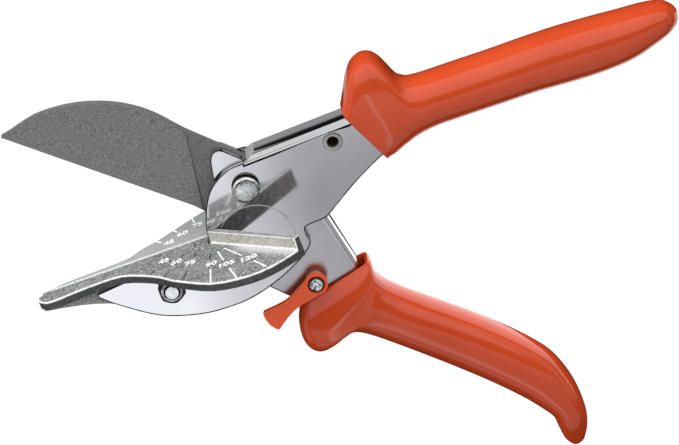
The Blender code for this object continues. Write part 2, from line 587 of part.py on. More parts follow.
# Return spring: a strip rolled round the pin, whose tail leans on the web of the blade lever
eye_radius = SPRING_PIN_RADIUS + SEAT_GAP + SPRING_THICKNESS / 2
web_a, web_b = Vector(inner_web[0]), Vector(inner_web[1])
web_run = (web_b - web_a).normalized()
web_out = Vector((-web_run.y, web_run.x))
tail_seat = web_a + web_run * SPRING_SEAT_DISTANCE + web_out * (SEAT_GAP + SPRING_THICKNESS / 2)
EYE_START, EYE_END, EYE_STEPS = math.radians(-100.0), math.radians(190.0), 16
eye_angles = [EYE_START + (EYE_END - EYE_START) * i / EYE_STEPS for i in range(EYE_STEPS + 1)]
eye = [(spring_pin_place[0] + eye_radius * math.cos(angle), spring_pin_place[1] + eye_radius * math.sin(angle))
       for angle in eye_angles]
leaf_middle = (Vector(eye[-1]) + tail_seat) / 2 + web_out * SPRING_THICKNESS
leaf = along([eye[-1], tuple(leaf_middle), tuple(tail_seat),
              tuple(tail_seat + web_run * SPRING_PIN_RADIUS + web_out * SPRING_THICKNESS * 2)], 4)
spring_path = eye + leaf[1:]


def strip(points, thickness):
    """Outline of a bent strip of one thickness along a line of points."""
    left = inward(points, thickness / 2)
    right = inward(points, -thickness / 2)
    return left + right[::-1]


finished("return_spring", prism("return_spring", strip(spring_path, SPRING_THICKNESS), -SPRING_WIDTH / 2,
                                SPRING_WIDTH / 2), SPRING_STEEL, ROOT)

# Grips: dipped handles, drawn as stations across the handle from its outer to its inner side
UPPER_STATION_SHARES = [((0.002, 0.719), (0.087, -0.404)), ((0.021, 0.93), (0.103, -0.386)),
                        ((0.046, 1.21), (0.117, -0.354)), ((0.072, 1.39), (0.129, -0.328)),
                        ((0.104, 1.47), (0.142, -0.302)), ((0.131, 1.43), (0.156, -0.28)),
                        ((0.151, 1.3), (0.168, -0.254)), ((0.166, 1.096), (0.181, -0.233)),
                        ((0.181, 0.896), (0.195, -0.217)), ((0.205, 0.796), (0.219, -0.196)),
                        ((0.255, 0.76), (0.264, -0.175)), ((0.347, 0.749), (0.347, -0.18)),
                        ((0.45, 0.738), (0.45, -0.191)), ((0.55, 0.738), (0.55, -0.202)),
                        ((0.651, 0.728), (0.651, -0.244)), ((0.75, 0.69), (0.75, -0.265)),
                        ((0.848, 0.638), (0.839, -0.228)), ((0.914, 0.607), (0.908, -0.117)),
                        ((0.966, 0.533), (0.959, 0.009)), ((0.99, 0.433), (0.986, 0.125))]
LOWER_STATION_SHARES = [((0.053, -0.08), (0.369, -0.0126)), ((0.03, -0.12), (0.3745, -0.021)),
                        ((0.01, -0.163), (0.376, -0.034)), ((0.004, -0.215), (0.376, -0.05)),
                        ((0.017, -0.255), (0.377, -0.065)), ((0.046, -0.278), (0.383, -0.088)),
                        ((0.084, -0.276), (0.395, -0.112)), ((0.123, -0.259), (0.412, -0.133)),
                        ((0.164, -0.246), (0.434, -0.154)), ((0.207, -0.251), (0.465, -0.181)),
                        ((0.267, -0.286), (0.511, -0.219)), ((0.357, -0.357), (0.578, -0.272)),
                        ((0.463, -0.446), (0.672, -0.347)), ((0.561, -0.531), (0.764, -0.427)),
                        ((0.658, -0.619), (0.858, -0.516)), ((0.753, -0.714), (0.933, -0.606)),
                        ((0.812, -0.783), (0.971, -0.695)), ((0.851, -0.84), (0.988, -0.775)),
                        ((0.87, -0.897), (0.992, -0.853)), ((0.88, -0.952), (0.978, -0.922)),
                        ((0.899, -0.983), (0.954, -0.964))]
UPPER_THICKNESS_SHARES = [0.82, 0.9, 0.96, 1.0, 1.0, 1.0, 1.0, 1.0, 0.99, 0.98, 0.98, 1.0, 1.0, 1.0, 1.0, 0.99,
                          0.96, 0.90, 0.78, 0.5]
LOWER_THICKNESS_SHARES = [0.66, 0.76, 0.86, 0.94, 1.0, 1.0, 1.0, 1.0, 0.99, 0.98, 0.98, 1.0, 1.0, 1.0, 1.0, 0.99,
                          0.96, 0.90, 0.78, 0.5, 0.34]
SECTION_POINTS = 20
MOUTH_ROUNDNESS = 4.2
GRIP_ROUNDNESS = 2.4
MOUTH_STATIONS = 9


def section(inner, outer, thickness, roundness):
    """A rounded section that spans from one side of the grip to the other."""
    centre = (Vector(inner) + Vector(outer)) / 2
    half = (Vector(outer) - Vector(inner)) / 2
    places = []
    for i in range(SECTION_POINTS):
        angle = math.tau * i / SECTION_POINTS
        c, s = math.cos(angle), math.sin(angle)
        across = math.copysign(abs(c) ** (2 / roundness), c)
        up = math.copysign(abs(s) ** (2 / roundness), s)
        flat = centre + half * across
        places.append((flat.x, flat.y, up * thickness / 2))
    return places


def grip(name, stations, thickness, origin, length, depth, axis, pocket):
    """A grip lofted through its stations, with the pocket that the lever's tang sits in."""
    work = bmesh.new()
    rings = []
    for number, ((outer, inner), share) in enumerate(zip(stations, thickness)):
        ends = [(origin[0] + length * x, origin[1] + depth * y) for x, y in (inner, outer)]
        near_mouth = max(0.0, 1.0 - number / MOUTH_STATIONS)
        roundness = GRIP_ROUNDNESS + (MOUTH_ROUNDNESS - GRIP_ROUNDNESS) * near_mouth
        rings.append([work.verts.new(place) for place in section(*ends, GRIP_THICKNESS * share, roundness)])
    for near, far in zip(rings, rings[1:]):
        for i in range(SECTION_POINTS):
            j = (i + 1) % SECTION_POINTS
            work.faces.new((near[i], near[j], far[j], far[i]))
    work.faces.new(rings[0])
    work.faces.new(rings[-1])
    bmesh.ops.recalc_face_normals(work, faces=work.faces)
    mesh = bpy.data.meshes.new(name)
    work.to_mesh(mesh)
    work.free()
    piece = finished(name, mesh, ORANGE, axis, 50.0)
    cut(piece, pocket)
    return piece


upper_origin = (PLATE_LENGTH * MOUTH_SHARE - SEAT_GAP, 0.0)
upper_pocket = prism("upper_pocket", grown(lever_outline, SEAT_GAP), -PLATE_CLEAR, PLATE_CLEAR)
grip("upper_grip", UPPER_STATION_SHARES, UPPER_THICKNESS_SHARES, upper_origin, UPPER_GRIP_LENGTH, UPPER_GRIP_DEPTH,
     ROOT, upper_pocket)
LOWER_ORIGIN_SHARES = (-0.04, -0.8)
lower_origin = (ARM_LENGTH * LOWER_ORIGIN_SHARES[0], ARM_LENGTH * LOWER_ORIGIN_SHARES[1])
lower_pocket = prism("lower_pocket", grown(inner_outline, SEAT_GAP), -INNER_TOP - SEAT_GAP,
                     INNER_TOP + SEAT_GAP)
grip("lower_grip", LOWER_STATION_SHARES, LOWER_THICKNESS_SHARES, lower_origin, LOWER_GRIP_WIDTH, LOWER_GRIP_LENGTH,
     SHEAR_AXIS, lower_pocket)

# Latch: a flat thumb lever with a flared tail, turning on a screw and bush in the inner lever's front wall
latch_low = INNER_TOP + SEAT_GAP + LATCH_WASHER_THICKNESS + SEAT_GAP
latch_top = PLATE_CLEAR + LATCH_ARM_THICKNESS
LATCH_TILT = math.radians(21.4)
LATCH_ARM_SHARES = [(0.0, 0.44), (0.2, 0.36), (0.4, 0.28), (0.56, 0.26), (0.72, 0.34), (0.86, 0.44),
                    (0.955, 0.5), (0.99, 0.44), (1.02, 0.2), (1.03, -0.1), (1.0, -0.42), (0.965, -0.5),
                    (0.86, -0.42), (0.72, -0.33), (0.56, -0.27), (0.4, -0.29), (0.2, -0.38), (0.0, -0.44)]
arm_run = Matrix.Rotation(math.pi + LATCH_TILT, 2)
arm_outline = [tuple(arm_run @ Vector((LATCH_LENGTH * x, -LATCH_TAIL_WIDTH * y))) for x, y in LATCH_ARM_SHARES]
latch_lever = finished("latch_lever", rod("latch_lever", (0.0, 0.0), LATCH_BOSS_RADIUS, PLATE_CLEAR, latch_top, 48),
                       LATCH_ORANGE, LATCH_AXIS)
bush_outer = LATCH_SCREW_RADIUS + SEAT_GAP + LATCH_BUSH_WALL


def on_latch(mesh):
    mesh.transform(Matrix.Translation(LATCH_PLACE))
    return mesh


add(latch_lever, on_latch(prism("latch_arm", arm_outline, PLATE_CLEAR, latch_top)),
    on_latch(rod("latch_hub", (0.0, 0.0), LATCH_HUB_RADIUS, latch_low, latch_top - LATCH_RECESS_DEPTH, 48)))
recess_floor = latch_top - LATCH_RECESS_DEPTH
cut(latch_lever,
    on_latch(rod("latch_recess", (0.0, 0.0), LATCH_RECESS_RADIUS, recess_floor, latch_top + OVERRUN, 40)),
    on_latch(rod("latch_bore", (0.0, 0.0), bush_outer + RUNNING_GAP, 0.0, latch_top + OVERRUN, 32)))
screw_head_low = recess_floor + SEAT_GAP
latch_nut_top = INNER_LOW - SEAT_GAP
latch_nut_low = latch_nut_top - LATCH_NUT_HEIGHT
turned("latch_screw", LATCH_PLACE,
       bolt_profile(LATCH_SCREW_RADIUS, LATCH_SCREW_HEAD_RADIUS, screw_head_low,
                    screw_head_low + LATCH_SCREW_HEAD_HEIGHT, latch_nut_low, LATCH_SCREW_CHAMFER,
                    LATCH_SCREW_CHAMFER), ZINC, SHEAR_AXIS, 32)
ring("latch_bush", LATCH_PLACE, LATCH_SCREW_RADIUS + SEAT_GAP, bush_outer, INNER_TOP + SEAT_GAP,
     recess_floor, ZINC, SHEAR_AXIS, 32)
ring("latch_washer", LATCH_PLACE, bush_outer + SEAT_GAP, LATCH_HUB_RADIUS, INNER_TOP + SEAT_GAP / 2,
     INNER_TOP + SEAT_GAP / 2 + LATCH_WASHER_THICKNESS, SPRING_STEEL, SHEAR_AXIS, 32)
nut("latch_nut", LATCH_PLACE, LATCH_NUT_WIDTH, LATCH_SCREW_RADIUS, latch_nut_low, latch_nut_top, SHEAR_AXIS)
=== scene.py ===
import math

import bmesh
import bpy
from mathutils import Matrix, Vector
from mathutils.bvhtree import BVHTree


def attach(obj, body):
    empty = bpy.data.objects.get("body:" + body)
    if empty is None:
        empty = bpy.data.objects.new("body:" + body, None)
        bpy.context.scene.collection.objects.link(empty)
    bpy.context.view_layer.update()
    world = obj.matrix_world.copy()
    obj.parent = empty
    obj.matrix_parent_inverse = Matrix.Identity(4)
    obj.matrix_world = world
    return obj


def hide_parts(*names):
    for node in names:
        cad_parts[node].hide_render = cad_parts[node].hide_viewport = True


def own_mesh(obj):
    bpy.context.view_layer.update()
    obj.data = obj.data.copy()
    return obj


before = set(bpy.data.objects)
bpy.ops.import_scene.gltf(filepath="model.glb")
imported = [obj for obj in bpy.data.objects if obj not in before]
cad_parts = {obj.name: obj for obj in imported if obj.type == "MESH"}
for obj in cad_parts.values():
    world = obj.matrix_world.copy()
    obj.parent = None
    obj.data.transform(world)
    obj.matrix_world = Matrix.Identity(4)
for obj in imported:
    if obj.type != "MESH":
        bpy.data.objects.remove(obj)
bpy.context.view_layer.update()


# Camera: a long lens close above the open shears, looking down on the outer side plate and a little
# from the side of the blade's back, rolled so that the table's cutting line climbs to the right.
CAMERA_PLACE = (0.09773, 0.33150, 0.83681)
CAMERA_RIGHT = Vector((0.94036, -0.33468, 0.06094))
CAMERA_UP = Vector((0.33016, 0.85471, -0.40058))
SENSOR_WIDTH = 36.0
LENS_IN_PIXELS, PICTURE_WIDTH = 2700.0, 679.0

lens = bpy.data.cameras.new("camera")
lens.sensor_width = SENSOR_WIDTH
lens.lens = SENSOR_WIDTH * LENS_IN_PIXELS / PICTURE_WIDTH
lens.clip_start, lens.clip_end = 0.01, 20.0
camera = bpy.data.objects.new("camera", lens)
bpy.context.scene.collection.objects.link(camera)
CAMERA_BACK = CAMERA_RIGHT.cross(CAMERA_UP).normalized()
camera_turn = Matrix((CAMERA_RIGHT, CAMERA_UP, CAMERA_BACK)).transposed().to_4x4()
camera.matrix_world = Matrix.Translation(CAMERA_PLACE) @ camera_turn
bpy.context.scene.camera = camera
bpy.context.scene.view_settings.view_transform = "Standard"


# Floor and light: a white table top that the shears lie on, under a soft sky and one broad key light. A
# bright scrim overhead, pale panels round about and papers on the table are what the polished steel and
# the glossy vinyl mirror, and the dark gaps between them draw the dark lines on folds and edges.


class Wire:
    """One socket of a material. Arithmetic on it adds Math nodes, and node() adds any other kind."""

    def __init__(self, tree, socket=None):
        self.tree, self.socket = tree, socket

    def node(self, kind, settings=None, values=None, output=0):
        """A new node: its settings first, then a value or a wire for each of its sockets."""
        made = self.tree.nodes.new("ShaderNode" + kind)
        for name, setting in (settings or {}).items():
            setattr(made, name, setting)
        for name, value in (values or {}).items():
            if isinstance(value, Wire):
                self.tree.links.new(value.socket, made.inputs[name])
            else:
                made.inputs[name].default_value = value
        return Wire(self.tree, made.outputs[output])

    def math(self, operation, first, second):
        return self.node("Math", {"operation": operation}, {0: first, 1: second})

    def __add__(self, other):
        return self.math("ADD", self, other)

    def __radd__(self, other):
        return self.math("ADD", other, self)

    def __sub__(self, other):
        return self.math("SUBTRACT", self, other)

    def __rsub__(self, other):
        return self.math("SUBTRACT", other, self)

    def __mul__(self, other):
        return self.math("MULTIPLY", self, other)

    def __rmul__(self, other):
        return self.math("MULTIPLY", other, self)

    def rise(self, low, high):
        """Climbs smoothly from 0 at low to 1 at high, or falls where low is the greater."""
        return self.node("MapRange", {"interpolation_type": "SMOOTHSTEP"},
                         {"Value": self, "From Min": low, "From Max": high})

    def mixed(self, first, second):
        """From the first colour to the second as this wire goes from 0 to 1."""
        return self.node("Mix", {"data_type": "RGBA"}, {0: self, 6: first, 7: second}, 2)


def along(place, axis):
    """How far a point lies along X, Y or Z, which are axes 0, 1 and 2."""
    return place.node("SeparateXYZ", {}, {0: place}, axis)


def cloud(place, scale, detail=2.0, distortion=0.0):
    """Soft patches from 0 to 1, about so many of them in a metre."""
    return place.node("TexNoise", {}, {"Vector": place, "Scale": scale, "Detail": detail,
                                       "Distortion": distortion})


def bumped(height, depth, strength):
    """The relief of a height from 0 to 1 that stands for this depth in metres."""
    return height.node("Bump", {}, {"Height": height, "Distance": depth, "Strength": strength}, "Normal")


def new_finish(name, constants, paint):
    """A material: fixed values on the shader's own sockets, and wires from paint() into those that vary."""
    made = bpy.data.materials.new(name)
    made.use_nodes = True
    shader = made.node_tree.nodes["Principled BSDF"]
    for socket, value in constants.items():
        shader.inputs[socket].default_value = value
    place = Wire(made.node_tree).node("TexCoord", output="Object")
    for socket, wire in paint(place).items():
        made.node_tree.links.new(wire.socket, shader.inputs[socket])
    return made


def new_piece(name, mesh):
    """Puts a mesh or a text into the scene."""
    piece = bpy.data.objects.new(name, mesh)
    bpy.context.scene.collection.objects.link(piece)
    return piece


FLOOR_LEVEL = -0.0083
FLOOR_HALF = 3.0


def floor_paint(place):
    """A matt dark ground under the glow that makes it white, so that nothing on it is mirrored."""
    paper = cloud(place, 9.0, 3.0)
    return {"Base Color": paper.mixed((0.06, 0.06, 0.06, 1.0), (0.08, 0.08, 0.08, 1.0)),
            "Roughness": 0.62 + paper * 0.1}


def oblong(left, right, near, far):
    """The corners of a flat oblong from left to right, between two edges given as Y and Z."""
    return [(left, *near), (right, *near), (right, *far), (left, *far)]


def card(name, corners, paint, strength, lights=False):
    """A glowing card of the studio. The camera never sees it, but polished pieces mirror it."""
    mesh = bpy.data.meshes.new(name)
    mesh.from_pydata(corners, [], [range(len(corners))])
    mesh.materials.append(new_finish(name, {
        "Base Color": (0.0, 0.0, 0.0, 1.0), "Roughness": 1.0, "Specular IOR Level": 0.0,
        "Emission Strength": strength}, paint))
    piece = new_piece(name, mesh)
    piece.visible_camera = piece.visible_shadow = False
    piece.visible_diffuse = lights


floor = new_piece("floor", bpy.data.meshes.new("floor"))
floor.data.from_pydata(oblong(-FLOOR_HALF, FLOOR_HALF, (-FLOOR_HALF, FLOOR_LEVEL),
                              (FLOOR_HALF, FLOOR_LEVEL)), [], [(0, 1, 2, 3)])
floor.data.materials.append(new_finish("white_table_top", {
    "Specular IOR Level": 0.1, "Emission Color": (1.0, 1.0, 1.0, 1.0), "Emission Strength": 0.985},
    floor_paint))
floor.visible_glossy = floor.visible_diffuse = False

world = bpy.data.worlds.new("studio")
world.use_nodes = True
sky = Wire(world.node_tree)
from_above = along(sky.node("TexCoord"), 1).rise(-0.50, 0.70)
background = world.node_tree.nodes["Background"]
world.node_tree.links.new(from_above.mixed((0.20, 0.20, 0.21, 1.0), (0.97, 0.98, 1.0, 1.0)).socket,
                          background.inputs["Color"])
background.inputs["Strength"].default_value = 1.22
bpy.context.scene.world = world
world.cycles_visibility.glossy = False

SCRIM_HEIGHT, SCRIM_HALF, SCRIM_EDGE, SCRIM_FAR, SKIRT_FOOT = 1.3, 1.6, -0.30, -1.6, 0.62


def scrim_paint(place):
    """Brightest over the nose of the shears, greyer over the handles and towards its far edge."""
    x, y = along(place, 0), along(place, 1)
    nose = (x.rise(-0.10, -0.18) * 0.28 + x.rise(-0.18, -0.26) * 0.24) * x.rise(-0.50, -0.36)
    level = 0.22 + nose + y.rise(-0.55, -0.49) * 0.10
    return {"Emission Color": level.mixed((0.0, 0.0, 0.0, 1.0), (1.0, 1.0, 1.03, 1.0))}


def plain_paint(level):
    """An even grey, clouded a little as paper is."""
    dim, bright = ((grey, grey, grey, 1.0) for grey in (level, level * 1.1))
    return lambda place: {"Emission Color": cloud(place, 3.0).mixed(dim, bright)}


card("scrim", oblong(-SCRIM_HALF, SCRIM_HALF, (SCRIM_FAR, SCRIM_HEIGHT), (SCRIM_EDGE, SCRIM_HEIGHT)),
     scrim_paint, 2.0)
card("scrim_skirt", oblong(-SCRIM_HALF, SCRIM_HALF, (SCRIM_FAR, SKIRT_FOOT), (SCRIM_FAR, SCRIM_HEIGHT)),
     plain_paint(0.5), 1.0)
card("back_panel", oblong(-1.5, 1.5, (1.25, 0.04), (0.20, SCRIM_HEIGHT)), plain_paint(0.8), 1.2)
for side in (-1.7, 1.7):
    card("side_panel", [(side, y, z) for y, z in ((-1.0, 0.15), (1.0, 0.15), (1.0, 1.1), (-1.0, 1.1))],
         plain_paint(0.5), 1.0)


def under_paint(place):
    """What the polished web sees below it: a grey strip close by, and black beyond."""
    x, y = along(place, 0), along(place, 1)
    near = (y - x * 0.034).rise(0.0199, 0.0193)
    return {"Emission Color": near.mixed((0.012, 0.012, 0.013, 1.0), (0.42, 0.42, 0.42, 1.0))}


CARD_LEVEL = FLOOR_LEVEL + 0.0002
HANDLE_PAPER = ((0.045, -0.002), (0.045, -0.022), (0.018, -0.072), (0.140, -0.105), (0.185, -0.170),
                (0.300, -0.170), (0.300, -0.002))
card("under_card", oblong(0.001, 0.0445, (0.012, CARD_LEVEL), (0.5, CARD_LEVEL)), under_paint, 1.0)
card("paper_between_the_handles", [(x, y, CARD_LEVEL) for x, y in HANDLE_PAPER], plain_paint(0.9), 1.6,
     lights=True)
card("paper_behind_the_blade", oblong(-0.160, 0.0005, (0.012, CARD_LEVEL), (0.160, CARD_LEVEL)),
     plain_paint(0.5), 1.0)

lamp = bpy.data.lights.new("key_light", "AREA")
lamp.shape, lamp.size, lamp.size_y, lamp.energy = "RECTANGLE", 0.9, 0.5, 6.5
key_light = bpy.data.objects.new("key_light", lamp)
bpy.context.scene.collection.objects.link(key_light)
key_light.location = (-0.55, 1.05, 0.52)
key_light.rotation_euler = key_light.location.to_track_quat("Z", "Y").to_euler()
key_light.visible_glossy = False


# Outer lever: one blank of 2.1 mm sheet steel, pressed into a channel with its web on top and two side
# plates, deburred, polished and bright chromed. A plain round field is embossed in the outer plate.
MM = 0.001
MIDDLE = 0.014
BUFF_TURN, BUFF_SCALE = (0.0, 0.0, 0.6), (220.0, 5200.0, 900.0)


def flat_front(place):
    """1 on the flat front of a plate, and 0 from the start of its folds on."""
    return along(place.node("TexCoord", output="Normal"), 2).rise(0.985, 0.999)


def chrome_paint(place):
    """Bright chrome over polished sheet: broad waves of the pressing, hair lines of the buff, and haze on
    the flat sides, where the wheel didn't reach as well as on the folds."""
    wave = cloud(place, 26.0, 2.0)
    haze = cloud(place, 190.0, 4.0)
    brushed = place.node("Mapping", {}, {"Vector": place, "Rotation": BUFF_TURN, "Scale": BUFF_SCALE})
    hair = cloud(brushed, 1.0, 2.0)
    tint = wave.rise(0.3, 0.7).mixed((0.565, 0.57, 0.595, 1.0), (0.66, 0.66, 0.678, 1.0))
    return {"Base Color": (haze.rise(0.35, 0.75) * 0.35).mixed(tint, (0.60, 0.60, 0.63, 1.0)),
            "Roughness": 0.025 + haze * 0.05 + hair * 0.02 + flat_front(place) * 0.02,
            "Normal": bumped(wave + hair * 0.006 + haze * 0.01, 0.12 * MM, 0.5)}


def mottled(dark, light, grain, rough, detail=3.0, uneven=0.2, sheen_grain=800.0, span=None):
    """A small dull surface: patches of two tones, sharper where a span is given, and an uneven sheen."""
    def paint(place):
        patches = cloud(place, grain, detail)
        if span:
            patches = patches.rise(*span)
        return {"Base Color": patches.mixed(dark, light),
                "Roughness": rough + uneven * cloud(place, sheen_grain)}
    return paint


chrome = new_finish("bright_chrome", {"Metallic": 1.0}, chrome_paint)
# The broken edges of both levers get a dark, patchy chrome: painted shade that draws the dark outlines
# along the plates.
shaded_chrome_edge = new_finish("chrome_edge_painted_shade", {"Metallic": 1.0}, mottled(
    (0.045, 0.047, 0.052, 1.0), (0.30, 0.30, 0.32, 1.0), grain=420.0, rough=0.16, span=(0.45, 0.75)))
end_grain = new_finish("satin_chrome_end", {"Metallic": 0.6}, mottled(
    (0.40, 0.40, 0.405, 1.0), (0.62, 0.62, 0.61, 1.0), grain=300.0, rough=0.36))
LEVER_FINISHES = [chrome, shaded_chrome_edge, end_grain]
LEVER_EDGE, LEVER_END = 1, 2


def with_cuts(piece, cutter):
    """Makes the piece's rounding real and takes the cutter's shape out of it."""
    taking = piece.modifiers.new("cut", "BOOLEAN")
    taking.object, taking.operation, taking.solver, taking.use_self = cutter, "DIFFERENCE", "EXACT", True
    taking.material_mode = "TRANSFER"
    bpy.context.view_layer.update()
    made = bpy.data.meshes.new_from_object(piece.evaluated_get(bpy.context.evaluated_depsgraph_get()))
    piece.modifiers.clear()
    piece.data = made
    bpy.data.objects.remove(cutter)


SHARP_FROM = math.radians(30.0)


def even_shading(piece):
    """Drops doubled faces, shades flat ones flat and rounded ones smooth, and creases the sharp turns."""
    piece.data.validate()
    if "custom_normal" in piece.data.attributes:
        piece.data.attributes.remove(piece.data.attributes["custom_normal"])
    piece.data.shade_smooth()
    piece.data.set_sharp_from_angle(angle=SHARP_FROM)
    evening = piece.modifiers.new("even_normals", "WEIGHTED_NORMAL")
    evening.keep_sharp = True


THROWN_OFF = 0.24


def with_full_edges(piece, skin):
    """Makes a rounding of full width real, and puts back the few points that it threw off the surface."""
    piece.modifiers["broken_edges"].use_clamp_overlap = False
    bpy.context.view_layer.update()
    made = bpy.data.meshes.new_from_object(piece.evaluated_get(bpy.context.evaluated_depsgraph_get()))
    surface = BVHTree.FromPolygons([vertex.co.copy() for vertex in skin.vertices],
                                   [face.vertices[:] for face in skin.polygons])
    for vertex in made.vertices:
        place, _, _, distance = surface.find_nearest(vertex.co)
        if distance > THROWN_OFF * MM:
            vertex.co = place
    piece.modifiers.clear()
    piece.data = made


WELD = 0.001 * MM
FLAT_WITHIN = math.radians(0.6)


def softened(name, node, body, finishes, width, segments=2, cutter=None, clamp=True, edge_slot=-1,
             share=None):
    """A finer copy of a solid: its flat faces whole again, its sharp edges broken as the real ones are."""
    work = bmesh.new()
    work.from_mesh(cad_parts[node].data)
    bmesh.ops.remove_doubles(work, verts=work.verts, dist=WELD)
    bmesh.ops.dissolve_limit(work, angle_limit=FLAT_WITHIN, verts=work.verts, edges=work.edges)
    mesh = bpy.data.meshes.new(name)
    work.to_mesh(mesh)
    work.free()
    for finish in finishes:
        mesh.materials.append(finish)
    piece = new_piece(name, mesh)
    if cutter:
        with_cuts(piece, cutter)
    rounding = piece.modifiers.new("broken_edges", "BEVEL")
    rounding.width, rounding.segments, rounding.material = width, segments, edge_slot
    rounding.limit_method, rounding.angle_limit = "ANGLE", SHARP_FROM
    if share:
        work = bmesh.new()
        work.from_mesh(piece.data)
        weight = work.edges.layers.float.new("bevel_weight_edge")
        for corner in work.edges:
            if len(corner.link_faces) == 2 and corner.calc_face_angle() > SHARP_FROM:
                corner[weight] = share(corner)
        work.to_mesh(piece.data)
        work.free()
        rounding.limit_method = "WEIGHT"
    if not clamp:
        with_full_edges(piece, piece.data)
    even_shading(piece)
    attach(piece, body)
    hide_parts(node)
    return piece


WEB_ENDS = ((2.0, 10.15), (41.0, 11.49))
PLATE_TOP = 6.3
FOLD_RADIUS, FOLD_STEPS = 3.4, 14
REAR_CORNER, REAR_CORNER_SIZE = (-2.4, 10.6, -5.6), (10.8, 5.2, 3.2)


def block(work, centre, size):
    """A block in a cutter, by its size and its centre in mm, the height of which counts from the middle."""
    place = Matrix.Translation(Vector(centre) * MM + Vector((0.0, 0.0, MIDDLE)))
    bmesh.ops.create_cube(work, size=1.0, matrix=place @ Matrix.Diagonal((*(Vector(size) * MM), 1.0)))


def fold_cutter():
    """Two bars along the web, hollowed to a quarter round, that leave its folds with one even radius, and
    a block that takes off the rear plate's corner behind the web's left end."""
    work = bmesh.new()
    run = Vector((WEB_ENDS[1][0] - WEB_ENDS[0][0], WEB_ENDS[1][1] - WEB_ENDS[0][1], 0.0)).normalized()
    out = Vector((-run.y, run.x, 0.0))
    centre, beyond = PLATE_TOP - FOLD_RADIUS, PLATE_TOP + 1.0
    for side in (1.0, -1.0):
        profile = [(FOLD_RADIUS * (math.cos(a) - 1.0), side * (centre + FOLD_RADIUS * math.sin(a)))
                   for a in (math.pi / 2 * i / FOLD_STEPS for i in range(FOLD_STEPS + 1))]
        profile += [(-FOLD_RADIUS, side * beyond), (1.0, side * beyond), (1.0, side * centre)]
        near, far = ([work.verts.new((Vector((x, y, 0.0)) + out * up + Vector((0.0, 0.0, z))) * MM
                                     + Vector((0.0, 0.0, MIDDLE))) for up, z in profile]
                     for x, y in WEB_ENDS)
        for i in range(len(profile)):
            work.faces.new((near[i - 1], near[i], far[i], far[i - 1]))
        work.faces.new(near)
        work.faces.new(far)
    block(work, REAR_CORNER, REAR_CORNER_SIZE)
    bmesh.ops.recalc_face_normals(work, faces=work.faces)
    mesh = bpy.data.meshes.new("fold_cutter")
    work.to_mesh(mesh)
    work.free()
    mesh.materials.append(chrome)
    return new_piece("fold_cutter", mesh)


HIDDEN_SHARE, FRONT_SHARE = 0.25, 0.5
FRONT_FROM = 3.5


def plate_share(corner):
    """Edges on the front are broken most, above all those that face the handles, and hidden ones least."""
    side = min(corner.link_faces, key=lambda face: abs(face.normal.z))
    on_front = min(end.co.z for end in corner.verts) > MIDDLE + FRONT_FROM * MM and abs(side.normal.z) < 0.5
    if on_front and max(face.normal.z for face in corner.link_faces) > 0.9:
        return FRONT_SHARE + (1.0 - FRONT_SHARE) * max(0.0, -side.normal.y)
    return HIDDEN_SHARE


outer_lever = softened("outer_lever", "anvil_lever", "anvil_side", LEVER_FINISHES,
                       0.7 * MM, 3, cutter=fold_cutter(), clamp=False, edge_slot=LEVER_EDGE,
                       share=plate_share)
WEB_END_LEFT, WEB_END_RIGHT, WEB_END_FOOT = 2.4, 7.4, 6.8
for face in outer_lever.data.polygons:
    if WEB_END_LEFT * MM < face.center.x < WEB_END_RIGHT * MM and face.center.y > WEB_END_FOOT * MM:
        if face.material_index == LEVER_EDGE or face.normal.x < -0.3:
            face.material_index = LEVER_END


def turned(name, centre, profile, finish, steps=64):
    """A piece turned on a lathe: its profile, as radius and height in mm, spun about the height's axis."""
    work = bmesh.new()
    rows = []
    for radius, height in profile:
        if radius == 0.0:
            rows.append([work.verts.new((centre[0] * MM, centre[1] * MM, MIDDLE + height * MM))])
            continue
        rows.append([work.verts.new(((centre[0] + radius * math.cos(math.tau * i / steps)) * MM,
                                     (centre[1] + radius * math.sin(math.tau * i / steps)) * MM,
                                     MIDDLE + height * MM)) for i in range(steps)])
    closed = profile[0][0] != 0.0
    for near, far in zip(rows, rows[1:] + (rows[:1] if closed else [])):
        for i in range(steps):
            j = (i + 1) % steps
            corners = [near[i % len(near)], near[j % len(near)], far[j % len(far)], far[i % len(far)]]
            work.faces.new(list(dict.fromkeys(corners)))
    bmesh.ops.recalc_face_normals(work, faces=work.faces)
    mesh = bpy.data.meshes.new(name)
    work.to_mesh(mesh)
    work.free()
    mesh.materials.append(finish)
    mesh.shade_smooth()
    mesh.set_sharp_from_angle(angle=math.radians(40.0))
    return new_piece(name, mesh)


FIELD_CENTRE = (-3.2, -19.3)
FIELD_RIDGE = [(13.0, -0.1), (12.98, 0.02), (12.9, 0.07), (12.8, 0.08), (12.7, 0.07), (12.62, 0.02),
               (12.6, -0.1)]
field_edge = turned("embossed_field_edge", FIELD_CENTRE,
                    [(radius, PLATE_TOP + rise) for radius, rise in FIELD_RIDGE], chrome, 96)
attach(field_edge, "anvil_side")


# Mitre table: one zinc casting, tumbled to a speckled grey, with its side faces left dark. The landing
# groove, the angle lines and their numbers are cut in its top; a fence stands on it behind the work.
TABLE_TOP = -14.2
FENCE_FOOT = 0.0395


